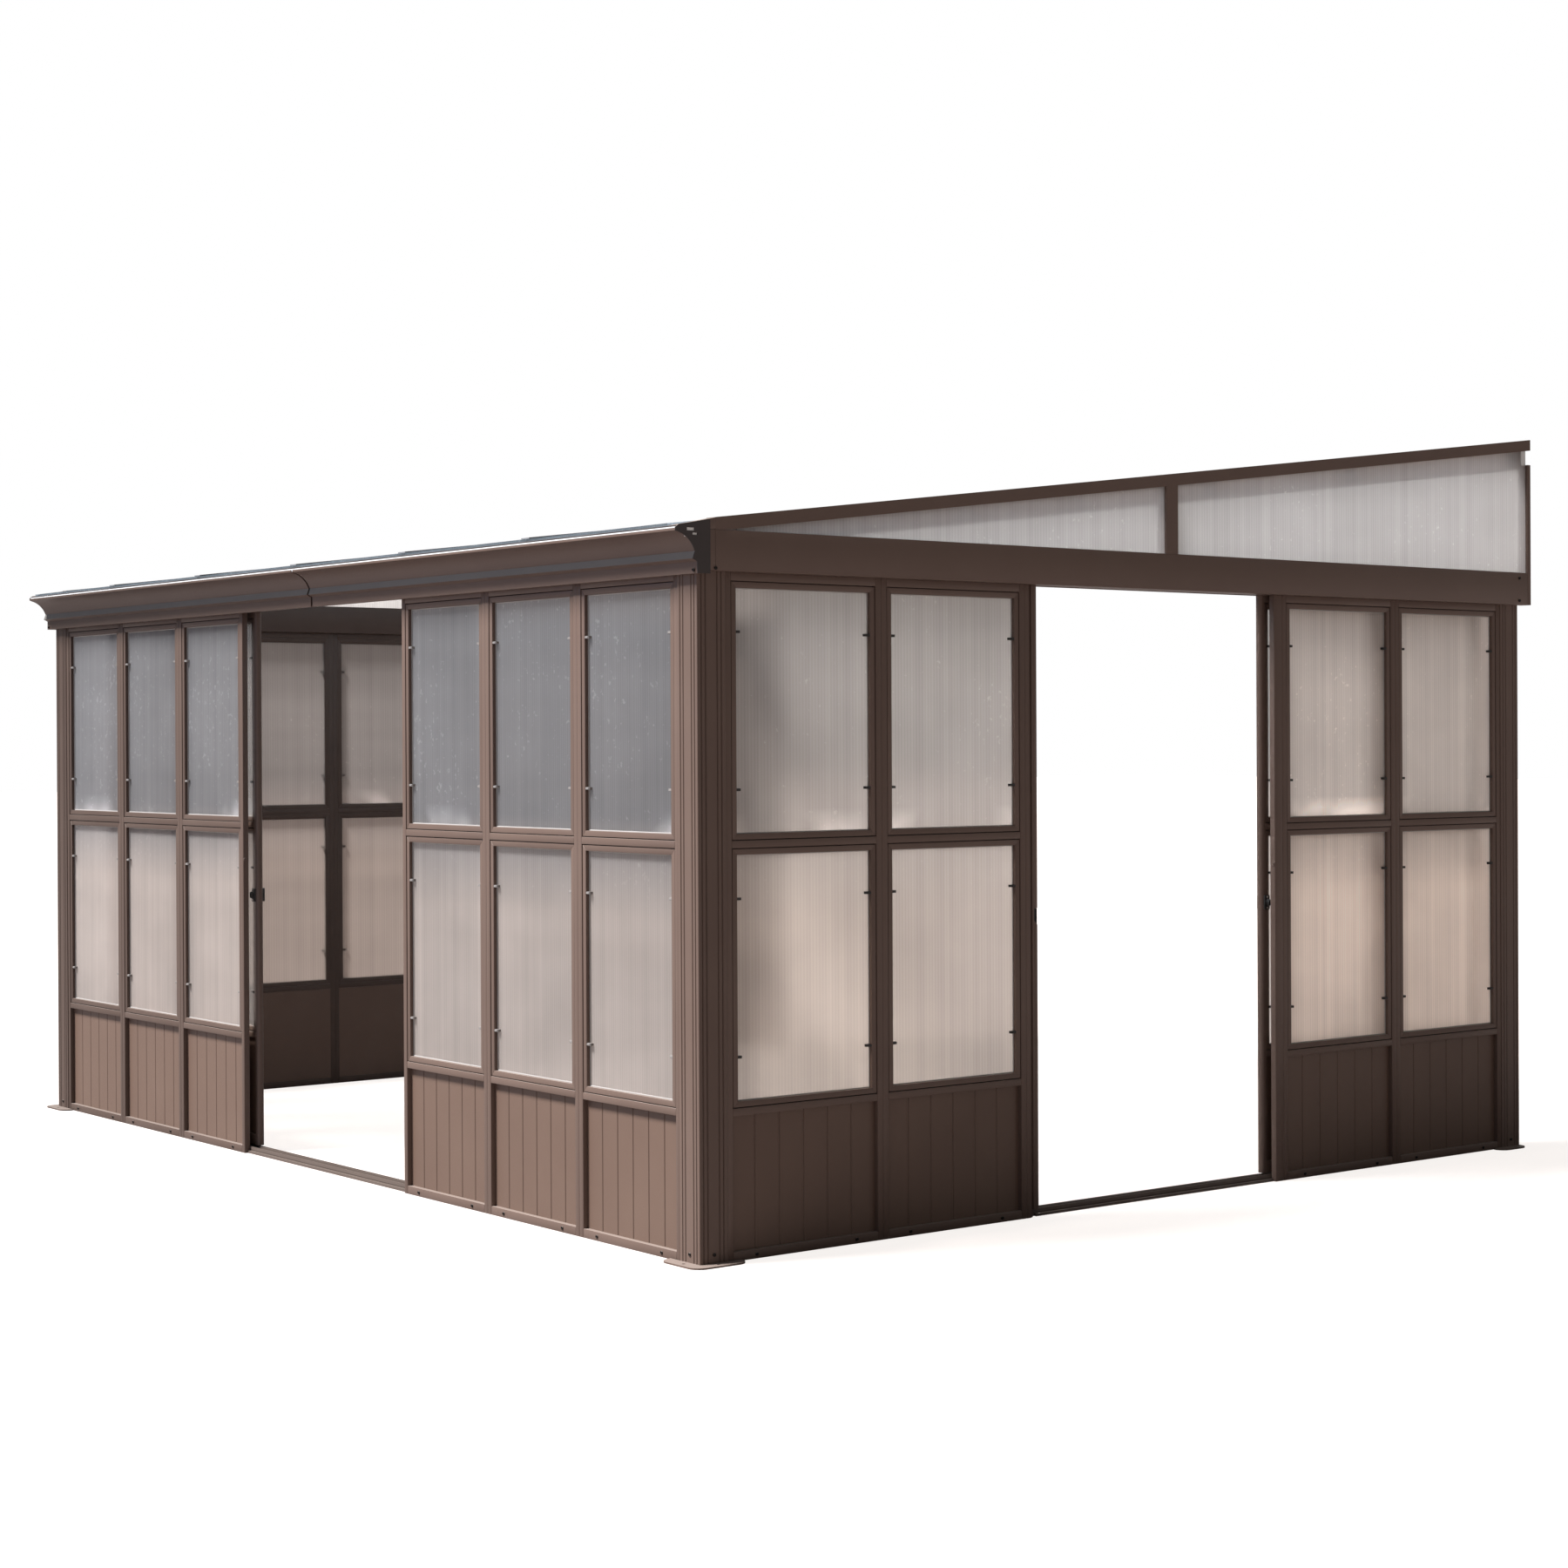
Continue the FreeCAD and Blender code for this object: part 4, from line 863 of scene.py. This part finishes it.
# Roof: aluminium rafters under and mill-finish cover bars over opal twin-wall sheets, with bronze end rails
# and a ledger on the house.
dress(bronze, "gable_rail_left", "gable_rail_right", "rafters", "wall_ledger",
      "gable_mullions", "wall_flanges")
roof_sheet = twin_wall("opal_roof_polycarbonate", milk="#aeb8c0", low_painted_light="#aeb8c0", haze=0.6,
                       tint="#eef3f8", blur=0.14, sideways=0.0, lamp_share="#b4b4b4")
dress(roof_sheet, "roof_sheets")
dress(satin_coat("weathered_mill_cover_bar", "#76787b", "#838588", rough=0.4, settled=0.1), "glazing_bars")

# Eave trim: a bright mill-finish strip that closes the sheets' front edge, with a thin dark strip along
# its top as painted shade on the trim's upper edge, and the end rails' tails beside it.
EAVE_FRONT, EAVE_BACK = -1.943, -1.940
EAVE_LOW, EAVE_TOP = 2.142, 2.156
EAVE_END = 2.381
STRIP_ROUND = 0.0006
EAVE_SHADE_LINE = EAVE_TOP - 0.004
EAVE_SHADE_LINE_ROUND = 0.0008
RAIL_INNER = 2.338
TAIL_TOP = HEAD_TOP + 0.007
TAIL_BACK = OUTER_FRONT + 0.045
TAIL_GAP = 0.001
TAIL_RISE = 0.0275
TAIL_ROUND = 0.001
trim_metal = satin_coat("mill_finish_eave_trim", "#c9c9ca", "#d8d8d8", rough=0.35)
strip_span = ((-EAVE_END, EAVE_FRONT, EAVE_LOW), (EAVE_END, EAVE_BACK, EAVE_SHADE_LINE))
strip = bars("eave_strip", [strip_span], STRIP_ROUND)
strip.data.materials[0] = trim_metal
fit(strip, "structure", "mill_track", "eave_trim")
# painted shade: a thin dark strip stands in for the shade along the trim's top edge
shade_line_span = ((-EAVE_END, EAVE_FRONT, EAVE_SHADE_LINE), (EAVE_END, EAVE_BACK, EAVE_TOP))
shade_line = bars("eave_painted_shade_line", [shade_line_span], EAVE_SHADE_LINE_ROUND)
shade_line.data.materials[0] = cap_metal
fit(shade_line, "structure", "end_cap")
# the end rails run on over the header to the eave
for side, low_x, high_x in (("right", RAIL_INNER, HEADER_SIDE), ("left", -HEADER_SIDE, -RAIL_INNER)):
    tail = block((low_x, EAVE_BACK + TAIL_GAP, HEAD_TOP), (high_x, TAIL_BACK, TAIL_TOP))
    with editing():
        pick("VERT", lambda spot, normal: near(spot.z, TAIL_TOP) and spot.y > OUTER_FRONT)
        bpy.ops.transform.translate(value=(0, 0, TAIL_RISE))
        round_all(TAIL_ROUND)
    tail.name = f"{side}_rail_tail"
    finished(tail, bronze)
    fit(tail, "structure", "frame")

# Gables: clear twin-wall panes cut to the roof's slope, held between the side headers, the sloped end rails
# and one mullion, and seen against the sky.
gable_sheet = twin_wall("clear_gable_polycarbonate", milk="#eae8e7", low_painted_light="#eae8e7", haze=0.42,
                        tint="#f2efed", blur=0.06)
dress(gable_sheet, "gable_panes")

# Sliding doors: tube frames like the wall modules, two columns wide, with a half-round nose down the
# leading stile and a hollow bottom rail that hides the wheels.
DOOR_LOW, DOOR_HIGH = 0.026, 2.050
DOOR_DEPTH = 0.027
DOOR_PANE_FACE = 0.014
DOOR_SASH = (0.003, 0.024)
DOOR_ROUND = 0.0013
NOSE_ROUND = 0.0134
HEAD_RAIL = RAILS[-1][0]
RAIL_TOP = 0.066
CHANNEL = 0.003
# painted light: the doors' sheet is the same polycarbonate, given paler colours and less haze so that the
# panes behind a parked door read brighter
door_sheet = twin_wall("clean_twin_wall_polycarbonate", milk="#cdcccb", low_painted_light="#d6d1cd", haze=0.32,
                       tint="#eceae8", blur=0.12, bands=0.06)
# each door's width, whether its leading stile is at the high end, and its place at rest
DOORS = {
    "front_door": (1.258, True, turned(-1.843, -1.796, 0, 0)),
    "side_door": (1.156, False, turned(2.300, 0.573, 0, 90)),
}
for door, (width, leads_high, place) in DOORS.items():
    clear = (width - 4 * STILE) / 2
    columns = [(STILE, STILE + clear), (3 * STILE + clear, width - STILE)]
    trailing = 0 if leads_high else width - STILE
    leading = width - STILE if leads_high else 0
    spans = [
        ((trailing, 0, DOOR_LOW), (trailing + STILE, DOOR_DEPTH, DOOR_HIGH)),
        ((STILE, 0, HEAD_RAIL), (width - STILE, DOOR_DEPTH, DOOR_HIGH)),
        ((STILE + clear, 0, RAIL_TOP), (3 * STILE + clear, DOOR_DEPTH, HEAD_RAIL)),
        ((STILE, 0, DOOR_LOW), (width - STILE, CHANNEL, RAIL_TOP)),
        ((STILE, DOOR_DEPTH - CHANNEL, DOOR_LOW), (width - STILE, DOOR_DEPTH, RAIL_TOP)),
        ((STILE, CHANNEL, RAIL_TOP - CHANNEL), (width - STILE, DOOR_DEPTH - CHANNEL, RAIL_TOP)),
    ]
    for low_x, high_x in columns:
        spans += [((low_x, 0, low), (high_x, DOOR_DEPTH, high)) for low, high in RAILS[1:3]]
    tubes = bars(f"{door}_tubes", spans, DOOR_ROUND)
    nose = block((leading, 0, DOOR_LOW), (leading + STILE, DOOR_DEPTH, DOOR_HIGH))
    edge_x = width if leads_high else 0
    with editing():
        round_edges(NOSE_ROUND, 8, "EDGE", lambda middle, way: abs(way.z) > 0.9 and near(middle.x, edge_x))
    finished(nose, bronze)
    tubes = joined(f"{door}_tube_frame", [tubes, nose])
    tubes.data.transform(place)
    fit(tubes, door, "frame", f"{door}_frame")
    lights = lights_of(columns)
    sashes = sash_bars(f"{door}_sash_bars", lights, *DOOR_SASH)
    sashes.data.transform(place)
    fit(sashes, door, "frame", f"{door}_sashes")
    strips = glazing_beads(f"{door}_glazing_beads", lights, DOOR_PANE_FACE)
    strips.data.transform(place)
    fit(strips, door, "nylon")
    spots = [place @ spot for spot in clip_places(columns, DOOR_PANE_FACE)]
    fit(copies(f"{door}_pane_clips", clip, spots), door, "nylon")
    dress(board_paint, f"{door}_kick_boards")
    dress(door_sheet, f"{door}_panes")
    dress(black, f"{door}_near_wheel", f"{door}_far_wheel", f"{door}_top_guides")

# Wheel axles: turned steel pins across the hollow bottom rail, zinc plated and dulled, on which the nylon
# wheels spin.
zinc, tree, output = material("dulled_zinc_plate")
where = add_node(tree, "ShaderNodeTexCoord").outputs["Object"]
# spangle and stains about 3 mm across
stain = noise(tree, where, 0.003, 3.0)
tone = add_node(tree, "ShaderNodeMix", {"data_type": "RGBA", 6: linear("#a39d96"), 7: linear("#d3cec7")},
                {0: stain})
shine = rescale(tree, stain, low=0.25, high=0.42)
skin = add_node(tree, "ShaderNodeBsdfPrincipled", {"Metallic": 1.0},
                {"Base Color": tone.outputs[2], "Roughness": shine})
tree.links.new(skin.outputs[0], output.inputs["Surface"])
dress(zinc, "front_door_axles", "side_door_axles")

# Locks: a moulded black plate outside and case inside, held by two bright screws through the stile,
# with a rounded thumb piece that swings a quarter turn.
LOCK_Z = 0.965
LOCK_INSET = 0.025
LOCK_LOW, LOCK_HIGH = LOCK_Z - 0.025, LOCK_Z + 0.025
PLATE_HALF, SLIM_HALF = 0.013, 0.010
PLATE_FACE = -0.005
LOCK_CORNER, LOCK_ROUND = 0.004, 0.0012
LOCK_SCREW_STEP, LOCK_SCREW_SCALE = 0.0185, 0.7
HUB_RADIUS, HUB_DEPTH, HUB_MIDDLE, HUB_ROUND = 0.009, 0.003, -0.0068, 0.0008
THUMB_HALF, THUMB_LENGTH = 0.005, 0.013
THUMB_FACE, THUMB_BACK = -0.0173, -0.0078
THUMB_BOW, THUMB_ROUND = 0.0085, 0.0012
for door, (width, leads_high, place) in DOORS.items():
    middle = width - LOCK_INSET if leads_high else LOCK_INSET
    shells = []
    # the side door's inner case is slimmer and stays behind its nose
    case = PLATE_HALF if leads_high else SLIM_HALF
    outside = (PLATE_FACE, 0, PLATE_HALF, -1)
    inside = (DOOR_DEPTH, DOOR_DEPTH + 0.8 * case, case, 1)
    for near_y, far_y, half, out in (outside, inside):
        shell = block((middle - half, near_y, LOCK_LOW), (middle + half, far_y, LOCK_HIGH))
        with editing():
            round_edges(LOCK_CORNER, 3, "EDGE", lambda spot, way: abs(way.y) > 0.9)
            round_edges(LOCK_ROUND, 2, "FACE", lambda spot, normal: normal.y * out > 0.9)
        finished(shell, black)
        shells.append(shell)
    shell = joined(f"{door}_lock_shells", shells)
    shell.data.transform(place)
    fit(shell, door, "lock", f"{door}_lock_case")
    levels = (LOCK_Z - LOCK_SCREW_STEP, LOCK_Z + LOCK_SCREW_STEP)
    spots = [place @ Matrix.Translation((middle, PLATE_FACE, z)) @ Matrix.Scale(LOCK_SCREW_SCALE, 4)
             for z in levels]
    lock_screws = copies(f"{door}_lock_screws", screw, spots)
    lock_screws.data.materials[0] = zinc
    fit(lock_screws, door, "steel")
    bpy.ops.mesh.primitive_cylinder_add(vertices=24, radius=HUB_RADIUS, depth=HUB_DEPTH,
                                        location=(middle, HUB_MIDDLE, LOCK_Z),
                                        rotation=(math.radians(90), 0, 0))
    hub = bpy.context.object
    settle()
    with editing():
        round_edges(HUB_ROUND, 2, "EDGE", lambda spot, way: near(spot.y, HUB_MIDDLE - HUB_DEPTH / 2))
    hub.data.materials.append(black)
    lever = block((middle - THUMB_HALF, THUMB_FACE, LOCK_Z - THUMB_LENGTH),
                  (middle + THUMB_HALF, THUMB_BACK, LOCK_Z + THUMB_LENGTH))
    with editing():
        round_edges(THUMB_BOW, 6, "EDGE", lambda spot, way: abs(way.x) > 0.9 and near(spot.y, THUMB_FACE))
        round_edges(THUMB_ROUND, 2, "EDGE", lambda spot, way: near(abs(spot.x - middle), THUMB_HALF))
    lever.data.materials.append(black)
    thumb = joined(f"{door}_thumb_piece", [hub, lever])
    smooth(thumb)
    thumb.data.transform(place)
    fit(thumb, f"{door}_thumb_turn", "lock", f"{door}_thumb_turn")

bpy.data.objects.remove(clip)
bpy.data.objects.remove(screw)

# Studio: a pale floor, one soft sun from the front left, a cool softbox before the front wall, a dim even
# sky and the photograph's camera.
FLOOR_SIZE = 160
bpy.ops.mesh.primitive_plane_add(size=FLOOR_SIZE)
floor = bpy.context.object
floor.name = "studio_floor"
pale, tree, output = material("pale_studio_floor")
where = add_node(tree, "ShaderNodeTexCoord").outputs["Object"]
# mottling about 500 mm across
mottle = noise(tree, where, 0.5)
tone = add_node(tree, "ShaderNodeMix", {"data_type": "RGBA", 6: linear("#827976"), 7: linear("#867d7a")},
                {0: mottle})
matt = add_node(tree, "ShaderNodeBsdfDiffuse", None, {"Color": tone.outputs[2]})
# the lens sees a bright cove with faint shadows, and the object is lit by a duller, warmer floor
rays = add_node(tree, "ShaderNodeLightPath").outputs
direct = reckon(tree, "MULTIPLY_ADD", rays["Is Transmission Ray"], 0.62, rays["Is Camera Ray"])
strength = reckon(tree, "MULTIPLY", direct, 0.88)
bright = add_node(tree, "ShaderNodeEmission", {"Color": linear("#fffbf8")}, {"Strength": strength})
pure = add_node(tree, "ShaderNodeAddShader", None, {0: matt.outputs[0], 1: bright.outputs[0]})
tree.links.new(pure.outputs[0], output.inputs["Surface"])
floor.data.materials.append(pale)

world = bpy.data.worlds.new("studio")
bpy.context.scene.world = world
world.use_nodes = True
tree = world.node_tree
tree.nodes.clear()
rays = add_node(tree, "ShaderNodeLightPath").outputs
direct = rescale(tree, rays["Is Transmission Ray"], low=0.23, high=0.66)
glow = add_node(tree, "ShaderNodeBackground", {"Color": linear("#f6f4f2")}, {"Strength": direct})
backdrop = add_node(tree, "ShaderNodeBackground", {"Color": linear("#ffffff"), "Strength": 1.0})
either = add_node(tree, "ShaderNodeMixShader", None,
                  {0: rays["Is Camera Ray"], 1: glow.outputs[0], 2: backdrop.outputs[0]})
add_node(tree, "ShaderNodeOutputWorld", None, {"Surface": either.outputs[0]})

bpy.ops.object.light_add(type="SUN")
sun = bpy.context.object
sun.data.energy = 10.0
sun.data.angle = math.radians(15)
SUN_RAY = Vector((0.5, 1.0, -1.68))
sun.rotation_euler = SUN_RAY.to_track_quat("-Z", "Y").to_euler()

bpy.ops.object.light_add(type="AREA", location=(-3, -13, 5), rotation=(math.radians(80), 0, 0))
softbox = bpy.context.object
softbox.data.shape = "RECTANGLE"
softbox.data.size = 14
softbox.data.size_y = 8
softbox.data.color = linear("#93bfff")[:3]
softbox.data.energy = 260
softbox.visible_camera = False

# the camera's turn, tilt and roll in degrees, its place in metres, and its focal length and centre in
# pixels of a square picture
CAMERA_TURNS = (51.4104, -0.2103, -0.2656)
CAMERA_PLACE = (8.9983, -6.5282, 1.5274)
PICTURE = 1800
FOCAL = 3199.82
CENTRE_X, CENTRE_Y = 992.74, 863.83
SENSOR = 36
turn, tilt, roll = (math.radians(angle) for angle in CAMERA_TURNS)
ahead = Vector((-math.sin(turn) * math.cos(tilt), math.cos(turn) * math.cos(tilt), math.sin(tilt)))
right = Vector((math.cos(turn), math.sin(turn), 0))
over = right.cross(ahead)
across = right * math.cos(roll) + over * math.sin(roll)
upright = over * math.cos(roll) - right * math.sin(roll)
bpy.ops.object.camera_add()
camera = bpy.context.object
aim = Matrix((across, upright, -ahead)).transposed().to_4x4()
camera.matrix_world = Matrix.Translation(CAMERA_PLACE) @ aim
camera.data.sensor_width = SENSOR
camera.data.lens = FOCAL / PICTURE * SENSOR
camera.data.shift_x = (PICTURE / 2 - CENTRE_X) / PICTURE
camera.data.shift_y = (CENTRE_Y - PICTURE / 2) / PICTURE
camera.data.clip_end = 500
bpy.context.scene.camera = camera
bpy.context.scene.view_settings.view_transform = "Standard"
